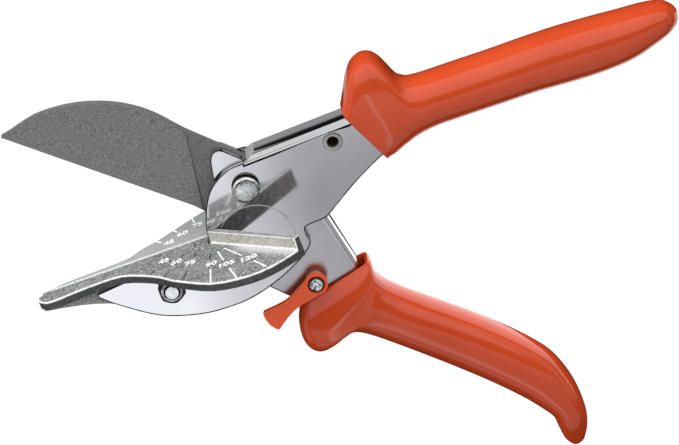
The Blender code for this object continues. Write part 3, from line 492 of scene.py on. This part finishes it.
def cast_paint(dark, light, grain_size, glints, sheen=0.0):
    """Tumbled zinc casting: grey grain, bright blotches and painted glints, and a painted reflection of the
    fence at its foot.
    """
    def paint(place):
        grain = cloud(place, grain_size, 3.0)
        blotch = cloud(place, 150.0, 3.0)
        glint = cloud(place, grain_size * 0.7, 1.0, 0.4).rise(0.62, 0.70)
        body = grain.rise(0.32, 0.68).mixed(dark, light)
        body = (blotch.rise(0.4, 0.65) * 0.4).mixed(body, light)
        # Painted reflection: near the fence's foot the top turns almost white, as if the fence were
        # mirrored there.
        if sheen:
            x, z = along(place, 0), along(place, 2)
            foot = (z - x - FENCE_FOOT).rise(0.0062, 0.0004) * x.rise(-0.012, -0.006) * sheen
            body = foot.mixed(body, (0.93, 0.93, 0.92, 1.0))
        return {"Base Color": (glint * glints).mixed(body, (0.85, 0.86, 0.84, 1.0)),
                "Roughness": 0.48 - glint * 0.2 + grain * 0.15,
                "Normal": bumped(grain + glint * 0.4, 0.12 * MM, 0.6)}
    return paint


cast_top = new_finish("tumbled_casting", {"Metallic": 0.2},
                      cast_paint((0.095, 0.10, 0.095, 1.0), (0.37, 0.38, 0.37, 1.0), 1500.0, 0.8, 0.65))
cast_smooth = new_finish("rubbed_casting", {"Metallic": 0.2},
                         cast_paint((0.36, 0.365, 0.36, 1.0), (0.49, 0.495, 0.49, 1.0), 1900.0, 0.3))
cast_side = new_finish("dark_casting", {"Metallic": 0.2},
                       cast_paint((0.035, 0.036, 0.035, 1.0), (0.085, 0.087, 0.085, 1.0), 1300.0, 0.06))
cast_fence = new_finish("fence_face", {"Metallic": 0.0},
                        cast_paint((0.38, 0.365, 0.305, 1.0), (0.58, 0.56, 0.485, 1.0), 900.0, 0.3))
cast_tongue = new_finish("raw_casting", {"Metallic": 0.2},
                         cast_paint((0.20, 0.20, 0.195, 1.0), (0.46, 0.46, 0.45, 1.0), 1000.0, 0.4))
cast_rear = new_finish("fence_rear", {"Metallic": 0.2},
                       cast_paint((0.11, 0.11, 0.107, 1.0), (0.30, 0.30, 0.29, 1.0), 1000.0, 0.3))
# Painted highlight: the lines whose walls would catch the light, and the stamped numbers with their glints,
# are filled near white.
painted_highlight_fill = new_finish("painted_highlight_fill", {}, mottled(
    (0.35, 0.36, 0.35, 1.0), (0.97, 0.97, 0.96, 1.0), grain=1100.0, rough=0.5, detail=2.0, uneven=0.3,
    sheen_grain=900.0, span=(0.30, 0.42)))
# Painted shade: the lines whose walls would face away from the light are filled near black.
painted_shade_fill = new_finish("painted_shade_groove", {}, mottled(
    (0.03, 0.03, 0.03, 1.0), (0.12, 0.125, 0.12, 1.0), grain=900.0, rough=0.6, detail=2.0,
    sheen_grain=700.0))
# Painted highlight: the casting's broken top edges are near white, for the bright lines along them.
bright_edge = new_finish("painted_highlight_edge", {"Metallic": 0.1}, mottled(
    (0.62, 0.63, 0.62, 1.0), (0.95, 0.95, 0.94, 1.0), grain=900.0, rough=0.28, detail=2.0,
    sheen_grain=700.0, span=(0.3, 0.5)))
TABLE_FINISHES = [cast_top, cast_smooth, cast_side, cast_fence, bright_edge, painted_highlight_fill, painted_shade_fill,
                  cast_tongue, cast_rear]
TOP, SMOOTH, SIDE, FENCE, HIGHLIGHT_EDGE, HIGHLIGHT_FILL, SHADE_FILL, TONGUE, REAR = range(len(TABLE_FINISHES))

HIGHLIT_LINES = [((-13.1, 14.8), (-7.3, 25.4)), ((-3.4, 32.4), (0.6, 40.0)),
               ((-15.5, 15.5), (-13.6, 23.9)), ((-11.8, 31.5), (-9.4, 41.1)),
               ((-18.2, 27.1), (-18.3, 37.3)), ((-24.2, -19.0), (-23.2, -14.4)),
               ((-31.2, -14.6), (-29.3, -11.1)), ((-38.0, -10.9), (-35.1, -7.5))]
SHADED_LINES = [((-18.1, 15.0), (-18.2, 20.0)), ((-22.9, 11.1), (-23.6, 13.7)),
              ((-26.2, 22.2), (-27.6, 28.1)), ((-26.8, 7.7), (-28.2, 10.2)),
              ((-31.7, 16.8), (-34.2, 20.8)), ((-37.4, 13.2), (-39.7, 15.4))]
LINE_HALF_WIDTH, LINE_DEPTH = 0.28, 0.2
NUMBERS = [("120", -5.3, 28.9), ("105", -12.8, 27.6), ("90", -17.9, 23.5), ("75", -25.1, 17.0),
           ("60", -30.0, 12.4), ("45", -34.2, 8.2), ("75", -22.3, -11.9), ("60", -27.7, -8.9),
           ("45", -32.5, -5.4)]
NUMBER_HEIGHT, STROKE_SWELL = 4.0, 0.14


def line_wedge(work, start, end, finish):
    """A wedge that cuts one V-shaped line in the table's top, between two places given as X and Z in mm."""
    a, b = (Vector((x * MM, TABLE_TOP * MM, MIDDLE + z * MM)) for x, z in (start, end))
    up = Vector((0.0, LINE_DEPTH * MM, 0.0))
    across = (b - a).normalized().cross(up).normalized() * LINE_HALF_WIDTH * 2 * MM
    near, far = ([work.verts.new(p) for p in (point - across + up, point - up, point + across + up)]
                 for point in (a, b))
    for i in range(3):
        work.faces.new((near[i], near[i - 2], far[i - 2], far[i])).material_index = finish
    work.faces.new(near).material_index = finish
    work.faces.new(far).material_index = finish


work = bmesh.new()
# Each angle line gets the white of the painted highlight or the black of the painted shade; the numbers get
# the white.
for finish, lines in ((HIGHLIGHT_FILL, HIGHLIT_LINES), (SHADE_FILL, SHADED_LINES)):
    for start, end in lines:
        line_wedge(work, start, end, finish)
for digits, x, z in NUMBERS:
    letters = bpy.data.curves.new("number", "FONT")
    letters.body, letters.align_x, letters.align_y = digits, "CENTER", "CENTER"
    letters.offset = STROKE_SWELL * MM
    letters.size, letters.extrude, letters.resolution_u = NUMBER_HEIGHT * MM, LINE_DEPTH * MM, 2
    holder = new_piece("number", letters)
    bpy.context.view_layer.update()
    shape = bpy.data.meshes.new_from_object(holder.evaluated_get(bpy.context.evaluated_depsgraph_get()))
    bpy.data.objects.remove(holder)
    shape.transform(Matrix.Translation((x * MM, TABLE_TOP * MM, MIDDLE + z * MM))
                    @ Matrix.Rotation(-math.pi / 2, 4, "X"))
    faces_before = len(work.faces)
    work.from_mesh(shape)
    work.faces.ensure_lookup_table()
    for face in work.faces[faces_before:]:
        face.material_index = HIGHLIGHT_FILL
bmesh.ops.remove_doubles(work, verts=work.verts, dist=WELD)
bmesh.ops.recalc_face_normals(work, faces=work.faces)
marks = bpy.data.meshes.new("table_marks")
work.to_mesh(marks)
work.free()
for finish in TABLE_FINISHES:
    marks.materials.append(finish)
marks_cutter = new_piece("table_marks", marks)
GROOVE_SHARE, FENCE_SHARE, TOP_SHARE, LOW_SHARE = 0.1, 0.45, 1.0, 0.2
GROOVE_WALL, TONGUE_REACH, FENCE_FACING = 1.2, 5.0, Vector((-0.707, 0.0, 0.707))


def casting_share(corner):
    """Bright broad edges round the top, hardly any in the groove, and thin ones on the dark sides."""
    if any(end.co.z < MIDDLE + 1.0 * MM for end in corner.verts):
        return GROOVE_SHARE
    if all(end.co.y > (TABLE_TOP + 0.5) * MM for end in corner.verts):
        return FENCE_SHARE
    return TOP_SHARE if all(end.co.y > (TABLE_TOP - 0.1) * MM for end in corner.verts) else LOW_SHARE


table = softened("mitre_table_casting", "mitre_table", "anvil_side", TABLE_FINISHES, 0.5 * MM,
                 edge_slot=HIGHLIGHT_EDGE, share=casting_share)
for face in table.data.polygons:
    upward, from_middle = face.normal.y > 0.7, abs(face.center.z - MIDDLE)
    if upward and face.center.y < (TABLE_TOP + 0.5) * MM:
        face.material_index = TOP if face.center.z > MIDDLE + 0.9 * MM else SMOOTH
    elif upward:
        face.material_index = TONGUE
    # The groove's walls take the painted highlight too, for the white line along the groove.
    elif face.center.y > (TABLE_TOP - 1.0) * MM and from_middle < GROOVE_WALL * MM:
        face.material_index = HIGHLIGHT_EDGE
    elif abs(face.normal.z) > 0.9 and from_middle < TONGUE_REACH * MM:
        face.material_index = TONGUE
    elif face.center.y > (TABLE_TOP + 0.05) * MM and abs(face.normal.dot(FENCE_FACING)) > 0.9:
        face.material_index = FENCE if face.normal.z > 0.0 else REAR
    else:
        face.material_index = SIDE
with_full_edges(table, table.data)
# Broken edges low on the sides go back to the dark casting, without the painted highlight.
for face in table.data.polygons:
    if face.material_index == HIGHLIGHT_EDGE and face.center.y < (TABLE_TOP - 0.7) * MM:
        face.material_index = SIDE
with_cuts(table, marks_cutter)
even_shading(table)


# Fasteners: bright zinc on steel. The table's bolt and nut clamp the plates on the casting's tongue, the
# pivot bolt carries both levers, with its washer and nut behind, and two rivets hold the blade's tang.


def zinc_paint(place):
    """Zinc plate: blue-white, with a patchwork of dull and bright grains and a few dark pits."""
    patch = place.node("TexVoronoi", {"feature": "F1"}, {"Vector": place, "Scale": 1700.0}, "Color")
    grain = patch.node("SeparateColor", {}, {0: patch}, 0)
    mist = cloud(place, 600.0, 4.0, 0.6)
    shade = (grain * 0.5 + mist * 0.7).rise(0.25, 0.80)
    return {"Base Color": shade.mixed((0.46, 0.50, 0.53, 1.0), (0.98, 1.0, 1.0, 1.0)),
            "Roughness": 0.17 + grain * 0.20,
            "Normal": bumped(grain * 0.4 + mist, 0.05 * MM, 0.4)}


def zinc_shade_paint(place):
    """Painted shade: the plating near black in the corners and along the edges, for the fasteners' dark
    outlines.
    """
    shade_mottle = cloud(place, 900.0, 3.0)
    return {"Base Color": shade_mottle.mixed((0.02, 0.022, 0.025, 1.0), (0.09, 0.095, 0.10, 1.0)),
            "Roughness": 0.34 + shade_mottle * 0.2}


NUT_CENTRE, NUT_FACE, NUT_RIM = (-0.0356, -0.02505), 3.42 * MM, 3.62 * MM


def nut_paint(place):
    """The same plate, darker in patches on its face, and near black outside the round face that the nut's
    chamfer leaves: painted shade for its dark outline.
    """
    made = zinc_paint(place)
    across, up = along(place, 0) - NUT_CENTRE[0], along(place, 1) - NUT_CENTRE[1]
    rim = (across * across + up * up).rise(NUT_FACE ** 2, NUT_RIM ** 2)
    dull = cloud(place, 700.0, 3.0).rise(0.15, 0.65).mixed(made["Base Color"], (0.19, 0.20, 0.215, 1.0))
    made["Base Color"] = rim.mixed(dull, (0.025, 0.027, 0.030, 1.0))
    return made


zinc = new_finish("bright_zinc", {"Metallic": 1.0}, zinc_paint)
nut_zinc = new_finish("nut_zinc", {"Metallic": 1.0}, nut_paint)
zinc_shade = new_finish("zinc_painted_shade", {"Metallic": 1.0}, zinc_shade_paint)
# The broken edges of the bolt and the nut, and the nut's sides, take the painted shade.
softened("table_bolt", "anvil_bolt", "anvil_side", [zinc, zinc_shade], 0.3 * MM, edge_slot=1)
nut = softened("table_nut", "anvil_nut", "anvil_side", [nut_zinc, zinc_shade], 0.12 * MM,
               edge_slot=1)
for face in nut.data.polygons:
    if abs(face.normal.z) < 0.9:
        face.material_index = 1
PIVOT_BOLT = [(0.0, 9.42), (1.8, 9.40), (3.3, 9.34), (3.7, 9.25), (3.8, 9.0), (3.86, 8.95), (4.35, 8.75),
              (4.6, 8.45), (4.65, 8.1), (4.6, 7.6), (4.3, 7.4), (4.2, 7.2), (4.2, 6.62), (4.05, 6.6),
              (3.95, 6.3), (3.95, -11.6), (3.7, -12.1), (0.0, -12.2)]
pivot_bolt = turned("turned_pivot_bolt", (0.0, 0.0), PIVOT_BOLT, zinc)
pivot_bolt.data.materials.append(zinc_shade)
# The pivot bolt's sides and the small step round its face take the painted shade, for the dark rings round
# its head.
for face in pivot_bolt.data.polygons:
    from_axis = face.center.xy.length / MM
    on_side, in_step = abs(face.normal.z) < 0.5 and from_axis > 4.1, 3.6 < from_axis < 3.9
    if on_side or in_step:
        face.material_index = 1
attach(pivot_bolt, "anvil_side")
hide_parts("pivot_bolt")
pivot_nut = softened("pivot_nut_piece", "pivot_nut", "anvil_side", [zinc], 0.18 * MM)
NUT_TURN = math.radians(30.0)
pivot_nut.data.transform(Matrix.Rotation(NUT_TURN, 4, "Z"))
softened("pivot_washer_piece", "pivot_washer", "anvil_side", [zinc], 0.2 * MM)
for number in (1, 2):
    softened(f"tang_rivet_{number}", f"blade_rivet_{number}", "blade_side", [zinc], 0.2 * MM)


# Pivot bush: a plain sleeve of sintered bronze, soaked in oil, that the inner lever turns on. It sits
# round the pivot bolt between the plates, which hide it.


def bronze_paint(place):
    """Open pores, dark with oil, between bright grains."""
    pores = cloud(place, 2600.0, 2.0)
    return {"Base Color": pores.rise(0.3, 0.6).mixed((0.20, 0.12, 0.05, 1.0), (0.58, 0.40, 0.19, 1.0)),
            "Roughness": 0.34 + pores * 0.2,
            "Normal": bumped(pores, 0.05 * MM, 0.6)}


bronze = new_finish("sintered_bronze", {"Metallic": 1.0}, bronze_paint)
softened("pivot_sleeve", "pivot_bush", "anvil_side", [bronze], 0.15 * MM)


# Spring pin: a hollow chromed rivet, its collars rolled over on both plates, that the spring hangs on.
# Its bore is a near black brown, a painted shade for the dark inside of the hole.
PIN_PLACE, PIN_BORE = (32.1, 5.0), 1.9
COLLAR = [(PIN_BORE, 5.2), (PIN_BORE, 6.36), (1.98, 6.42), (2.2, 6.45), (2.9, 6.43), (3.2, 6.38),
          (3.35, 6.31), (2.5, 6.28)]


def bore_paint(place):
    """Painted shade: a near black brown down the bore."""
    bore_mottle = cloud(place, 700.0, 3.0)
    return {"Base Color": bore_mottle.mixed((0.010, 0.007, 0.005, 1.0), (0.060, 0.042, 0.026, 1.0)),
            "Roughness": 0.55 + bore_mottle * 0.3}


bore_shade = new_finish("bore_painted_shade", {}, bore_paint)
satin = new_finish("satin_collar", {"Metallic": 1.0}, mottled(
    (0.38, 0.375, 0.36, 1.0), (0.54, 0.53, 0.51, 1.0), grain=500.0, rough=0.20))
spring_pin = turned("hollow_rivet", PIN_PLACE, COLLAR + [(r, -z) for r, z in COLLAR[::-1]], satin)
spring_pin.data.materials.append(bore_shade)
# The bore's walls take the painted shade.
for face in spring_pin.data.polygons:
    from_axis = (face.center.xy - Vector(PIN_PLACE) * MM).length / MM
    if from_axis < PIN_BORE + 0.05 and abs(face.normal.z) < 0.1:
        face.material_index = 1
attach(spring_pin, "anvil_side")
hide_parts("spring_pin")


# Return spring: a strip of bright spring steel, rolled once round the pin, whose tail leans on the web
# of the inner lever. It closes up as the handles close.


def spring_paint(place):
    """Rolled strip with a thin blue-grey film."""
    film = cloud(place, 120.0, 3.0)
    return {"Base Color": film.mixed((0.38, 0.39, 0.42, 1.0), (0.58, 0.58, 0.59, 1.0)),
            "Roughness": 0.26 + film * 0.2}


spring_steel = new_finish("bright_spring_steel", {"Metallic": 1.0}, spring_paint)
TAIL_END, TAIL_END_SIZE = (22.5, -21.7, 0.0), (9.0, 5.0, 9.0)
tail_cutter = new_piece("tail_cutter", bpy.data.meshes.new("tail_cutter"))
work = bmesh.new()
block(work, TAIL_END, TAIL_END_SIZE)
work.to_mesh(tail_cutter.data)
work.free()
tail_cutter.data.materials.append(spring_steel)
spring = softened("spring_strip", "return_spring", "anvil_side", [spring_steel], 0.12 * MM,
                  cutter=tail_cutter)
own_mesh(spring)


# Inner lever: the second chromed channel, a little thicker in the wall for its size, that swings inside
# the first. Its lug shows beside the pivot, and its arm carries the latch and the lower grip.


def handled_chrome_paint(place):
    """The same chrome, but hazed by fingers on the flat of the arm round the latch."""
    made = chrome_paint(place)
    hazed = flat_front(place) * along(place, 1).rise(-0.014, -0.022)
    smear = cloud(place, 260.0, 3.0)
    made["Base Color"] = (hazed * (0.30 + smear * 0.25)).mixed(made["Base Color"], (0.36, 0.36, 0.385, 1.0))
    made["Roughness"] = made["Roughness"] + hazed * (0.17 + smear * 0.08)
    return made


handled_chrome = new_finish("handled_chrome", {"Metallic": 1.0}, handled_chrome_paint)
inner_lever = softened("inner_lever", "blade_lever", "blade_side",
                       [handled_chrome, shaded_chrome_edge, end_grain], 0.7 * MM, 3, clamp=False,
                       edge_slot=LEVER_EDGE, share=plate_share)
SHOULDER_LEFT, SHOULDER_FOOT = 19.0, -25.5
for face in inner_lever.data.polygons:
    on_shoulder = face.center.x > SHOULDER_LEFT * MM and face.center.y > SHOULDER_FOOT * MM
    if face.material_index == LEVER_EDGE and on_shoulder:
        face.material_index = LEVER_END


# Blade: 3.2 mm tool steel, ground thin from a slanting line to the edge, under a dark grey coating that
# keeps rubber and glue from sticking. The coating is dull, with a fine even grain.
COATING_GRAIN = 2100.0


def coating_paint(place):
    """The coating where nothing rubs it."""
    grain = cloud(place, COATING_GRAIN, 2.0)
    shade = (grain * 0.75 + cloud(place, 45.0, 2.0) * 0.25).rise(0.3, 0.7)
    return {"Base Color": shade.mixed((0.105, 0.104, 0.101, 1.0), (0.235, 0.233, 0.228, 1.0)),
            "Roughness": 0.50 + grain * 0.12,
            "Normal": bumped(grain, 0.05 * MM, 0.5)}


STEP_TOP, STEP_FOOT = Vector((-11.89, 22.95)), Vector((-15.26, 1.61))
STEP_ACROSS = (STEP_TOP - STEP_FOOT).orthogonal().normalized()


def rubbed_coating_paint(place):
    """The ground face is rubbed a little lighter, and has a painted shadow in the corner of its step."""
    grain = cloud(place, COATING_GRAIN, 2.0)
    x, y = along(place, 0) - STEP_TOP.x * MM, along(place, 1) - STEP_TOP.y * MM
    beside = x * STEP_ACROSS.x + y * STEP_ACROSS.y
    step = beside.rise(0.80 * MM, 0.15 * MM)
    skin = grain.rise(0.30, 0.70).mixed((0.145, 0.143, 0.140, 1.0), (0.315, 0.31, 0.305, 1.0))
    return {"Base Color": (step * 0.75).mixed(skin, (0.03, 0.03, 0.03, 1.0)),
            "Roughness": 0.42 + grain * 0.12,
            "Normal": bumped(grain, 0.05 * MM, 0.6)}


coating = new_finish("blade_coating", {"Metallic": 0.25}, coating_paint)
rubbed_coating = new_finish("rubbed_coating", {"Metallic": 0.4}, rubbed_coating_paint)
blade = softened("coated_blade", "blade", "blade_side", [coating, rubbed_coating],
                 0.45 * MM, edge_slot=1)
GROUND_AREA = 100.0 * MM * MM
for face in blade.data.polygons:
    if 0.9 < abs(face.normal.z) < 0.9995 and face.area > GROUND_AREA:
        face.material_index = 1


# Grips: soft red-orange vinyl, made by dipping the hot tangs, so it has no seams, a gloss skin and thick
# round lips. Each is a little boxy at its mouth, rounder behind it, and closes in a blunt tip.


def vinyl_paint(place):
    """Dipped vinyl: almost even colour, slow waves where it ran, and a very fine orange peel."""
    run = cloud(place, 38.0, 2.0)
    peel = cloud(place, 900.0, 2.0)
    return {"Base Color": run.rise(0.3, 0.7).mixed((0.63, 0.066, 0.016, 1.0), (0.68, 0.078, 0.020, 1.0)),
            "Roughness": 0.09 + peel * 0.05,
            "Normal": bumped(run + peel * 0.02, 0.2 * MM, 0.4)}


vinyl = new_finish("dipped_vinyl", {"Specular IOR Level": 0.5, "Coat Weight": 0.15, "Coat Roughness": 0.04},
                   vinyl_paint)
LIP_ROUND = 0.8
# A station holds X and Y of the outer edge and then of the inner edge, as shares of the grip's length and
# depth from its origin, and the thickness there as a share of GRIP_HALF.
UPPER_STATIONS = [(0.002, 0.719, 0.087, -0.404, 0.82), (0.021, 0.93, 0.103, -0.386, 0.90),
                  (0.046, 1.21, 0.117, -0.354, 0.96), (0.072, 1.39, 0.129, -0.328, 1.0),
                  (0.104, 1.47, 0.142, -0.302, 1.0), (0.131, 1.43, 0.156, -0.28, 1.0),
                  (0.151, 1.3, 0.168, -0.254, 1.0), (0.166, 1.096, 0.181, -0.233, 1.0),
                  (0.181, 0.896, 0.195, -0.217, 0.99), (0.205, 0.796, 0.219, -0.196, 0.98),
                  (0.255, 0.76, 0.264, -0.175, 0.98), (0.347, 0.749, 0.347, -0.18, 1.0),
                  (0.45, 0.738, 0.45, -0.191, 1.0), (0.55, 0.738, 0.55, -0.202, 1.0),
                  (0.651, 0.728, 0.651, -0.244, 1.0), (0.75, 0.69, 0.75, -0.265, 0.99),
                  (0.848, 0.638, 0.839, -0.228, 0.96), (0.914, 0.607, 0.908, -0.117, 0.90),
                  (0.966, 0.55, 0.959, -0.01, 0.78), (0.989, 0.46, 0.985, 0.075, 0.55)]
LOWER_STATIONS = [(0.053, -0.08, 0.369, -0.0126, 0.66), (0.03, -0.12, 0.3745, -0.021, 0.76),
                  (0.01, -0.163, 0.376, -0.034, 0.86), (0.004, -0.215, 0.376, -0.05, 0.94),
                  (0.017, -0.255, 0.377, -0.065, 1.0), (0.046, -0.278, 0.383, -0.088, 1.0),
                  (0.084, -0.276, 0.395, -0.112, 1.0), (0.123, -0.259, 0.412, -0.133, 1.0),
                  (0.164, -0.246, 0.434, -0.154, 0.99), (0.207, -0.251, 0.465, -0.181, 0.98),
                  (0.267, -0.286, 0.511, -0.219, 0.98), (0.357, -0.357, 0.578, -0.272, 1.0),
                  (0.463, -0.446, 0.672, -0.347, 1.0), (0.561, -0.531, 0.764, -0.427, 1.0),
                  (0.658, -0.619, 0.858, -0.516, 1.0), (0.753, -0.714, 0.933, -0.606, 0.99),
                  (0.812, -0.783, 0.971, -0.695, 0.96), (0.851, -0.84, 0.988, -0.775, 0.90),
                  (0.858, -0.895, 0.990, -0.858, 0.78), (0.866, -0.948, 0.974, -0.923, 0.56),
                  (0.886, -0.979, 0.947, -0.968, 0.38)]
GRIP_HALF = 9.3


def smooth_run(points, steps):
    """Points on one smooth curve through all the given ones, whatever each of them holds."""
    run, last = [], len(points) - 1
    for i in range(last):
        around = points[max(i - 1, 0)], points[i], points[i + 1], points[min(i + 2, last)]
        for k in range(steps):
            t = k / steps
            run.append([0.5 * (2 * q + (r - p) * t + (2 * p - 5 * q + 4 * r - s) * t ** 2
                               + (3 * q - p - 3 * r + s) * t ** 3) for p, q, r, s in zip(*around)])
    return run + [list(points[last])]


SECTION_POINTS, POINTS_BETWEEN = 56, 5
POCKET_SQUARENESS, MOUTH_SQUARENESS, GRIP_SQUARENESS, MOUTH_STATIONS = 7.0, 4.2, 2.5, 9
LIP_TURNS = (20.0, 55.0, 90.0, 125.0, 160.0)
CAP_START, CAP_TURNS = math.radians(42.0), (50.0, 58.0, 66.0, 74.0, 82.0, 87.0)


def grip_section(work, outer, inner, half, squareness, shift=(0.0, 0.0)):
    """One ring of the grip's skin: it spans from its outer to its inner edge, and bulges to both sides."""
    centre, reach = (outer + inner) / 2 + Vector(shift), (outer - inner) / 2
    ring = []
    for i in range(SECTION_POINTS):
        c, s = math.cos(math.tau * i / SECTION_POINTS), math.sin(math.tau * i / SECTION_POINTS)
        sideways = math.copysign(abs(c) ** (2 / squareness), c)
        up = math.copysign(abs(s) ** (2 / squareness), s)
        flat = centre - reach * sideways
        ring.append(work.verts.new((flat.x * MM, flat.y * MM, MIDDLE + up * half * MM)))
    return ring


def edges_of(station):
    """The outer and the inner edge of a station on the skin."""
    return Vector(station[:2]), Vector(station[2:4])


def heading(station, following):
    """The way that the grip runs from the middle of one station to the middle of the next."""
    (outer, inner), (outer_next, inner_next) = edges_of(station), edges_of(following)
    return (outer_next + inner_next - outer - inner).normalized()


def dipped_grip(name, node, body, stations, origin, length, depth, pocket_stations, wall_thick,
                pocket_half):
    """A grip from the floor of its pocket, out over its round lip and down its skin to the closed tip."""
    skin = []
    for number, (ax, ay, bx, by, thick) in enumerate(stations):
        near_mouth = max(0.0, 1.0 - number / MOUTH_STATIONS)
        skin.append((origin[0] + ax * length, origin[1] + ay * depth, origin[0] + bx * length,
                     origin[1] + by * depth, thick * GRIP_HALF,
                     GRIP_SQUARENESS + (MOUTH_SQUARENESS - GRIP_SQUARENESS) * near_mouth))
    work = bmesh.new()
    rings = []
    for station in skin[pocket_stations:0:-1] + skin[:1]:
        outer, inner = edges_of(station)
        wall = (outer - inner).normalized() * wall_thick
        rings.append(grip_section(work, outer - wall, inner + wall, pocket_half, POCKET_SQUARENESS))
    half, squareness = skin[0][4:]
    outward = -heading(skin[0], skin[1])
    for turn in LIP_TURNS:
        bulge = math.sin(math.radians(turn)) * LIP_ROUND
        slide = (1.0 - math.cos(math.radians(turn))) / 2
        lip_wall = wall * (1.0 - slide)
        rings.append(grip_section(work, outer - lip_wall, inner + lip_wall,
                                  pocket_half + (half - pocket_half) * slide,
                                  POCKET_SQUARENESS + (squareness - POCKET_SQUARENESS) * slide,
                                  outward * bulge))
    for station in smooth_run(skin, POINTS_BETWEEN):
        rings.append(grip_section(work, *edges_of(station), *station[4:]))
    onward = heading(skin[-2], skin[-1])
    outer, inner = edges_of(skin[-1])
    half = skin[-1][4]
    middle, reach = (outer + inner) / 2, (outer - inner) / 2
    for turn in CAP_TURNS:
        narrow = math.cos(math.radians(turn)) / math.cos(CAP_START)
        climb = (math.sin(math.radians(turn)) - math.sin(CAP_START)) / math.cos(CAP_START)
        rings.append(grip_section(work, middle + reach * narrow, middle - reach * narrow, half * narrow,
                                  GRIP_SQUARENESS, onward * (climb * (half + reach.length) / 2)))
    for near, far in zip(rings, rings[1:]):
        for i in range(SECTION_POINTS):
            j = (i + 1) % SECTION_POINTS
            work.faces.new((near[i], near[j], far[j], far[i]))
    work.faces.new(rings[0])
    work.faces.new(rings[-1])
    bmesh.ops.recalc_face_normals(work, faces=work.faces)
    mesh = bpy.data.meshes.new(name)
    work.to_mesh(mesh)
    work.free()
    mesh.materials.append(vinyl)
    mesh.shade_smooth()
    piece = new_piece(name, mesh)
    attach(piece, body)
    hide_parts(node)


dipped_grip("upper_dipped_grip", "upper_grip", "anvil_side", UPPER_STATIONS, origin=(38.2, 0.0),
            length=113.0, depth=19.0, pocket_stations=12, wall_thick=0.9, pocket_half=6.7)
dipped_grip("lower_dipped_grip", "lower_grip", "blade_side", LOWER_STATIONS, origin=(-2.0, -40.0),
            length=83.0, depth=95.0, pocket_stations=11, wall_thick=1.4, pocket_half=4.6)


# Latch: a moulded thumb lever that turns on a screw in the inner lever's wall, with a bush and a spring
# washer under it and a thin nut inside. Its tail drops into the plate's notch to keep the shears shut.


def moulded_paint(place):
    """Moulded plastic: almost even colour under a fine texture."""
    flow = cloud(place, 70.0, 2.0)
    texture = cloud(place, 2100.0, 2.0)
    return {"Base Color": flow.mixed((0.97, 0.098, 0.014, 1.0), (1.0, 0.118, 0.020, 1.0)),
            "Roughness": 0.26 + texture * 0.14,
            "Normal": bumped(texture, 0.03 * MM, 0.5)}


moulded = new_finish("moulded_orange", {"Specular IOR Level": 0.4, "Coat Weight": 0.08,
                                        "Coat Roughness": 0.15}, moulded_paint)
softened("thumb_latch", "latch_lever", "latch", [moulded], 0.45 * MM, 3)


def crystal_glint_paint(place):
    """A coarser zinc crystal on the screw, with painted glints: each facet of it dark or bright."""
    facet = place.node("TexVoronoi", {"feature": "F1"}, {"Vector": place, "Scale": 1500.0}, "Color")
    shade = facet.node("SeparateColor", {}, {0: facet}, 0)
    return {"Base Color": shade.rise(0.15, 0.75).mixed((0.07, 0.10, 0.12, 1.0), (1.0, 1.0, 1.0, 1.0)),
            "Roughness": 0.20 + shade * 0.2,
            "Normal": bumped(shade, 0.06 * MM, 0.5)}


crystal_zinc_glints = new_finish("crystal_zinc_glints", {"Metallic": 1.0}, crystal_glint_paint)
# The screw's broken edges take the painted shade.
softened("latch_screw_piece", "latch_screw", "blade_side", [crystal_zinc_glints, zinc_shade],
         0.2 * MM, edge_slot=1)
softened("latch_sleeve", "latch_bush", "blade_side", [zinc], 0.1 * MM)
softened("latch_spring_washer", "latch_washer", "blade_side", [spring_steel], 0.08 * MM)
softened("latch_thin_nut", "latch_nut", "blade_side", [zinc], 0.12 * MM)
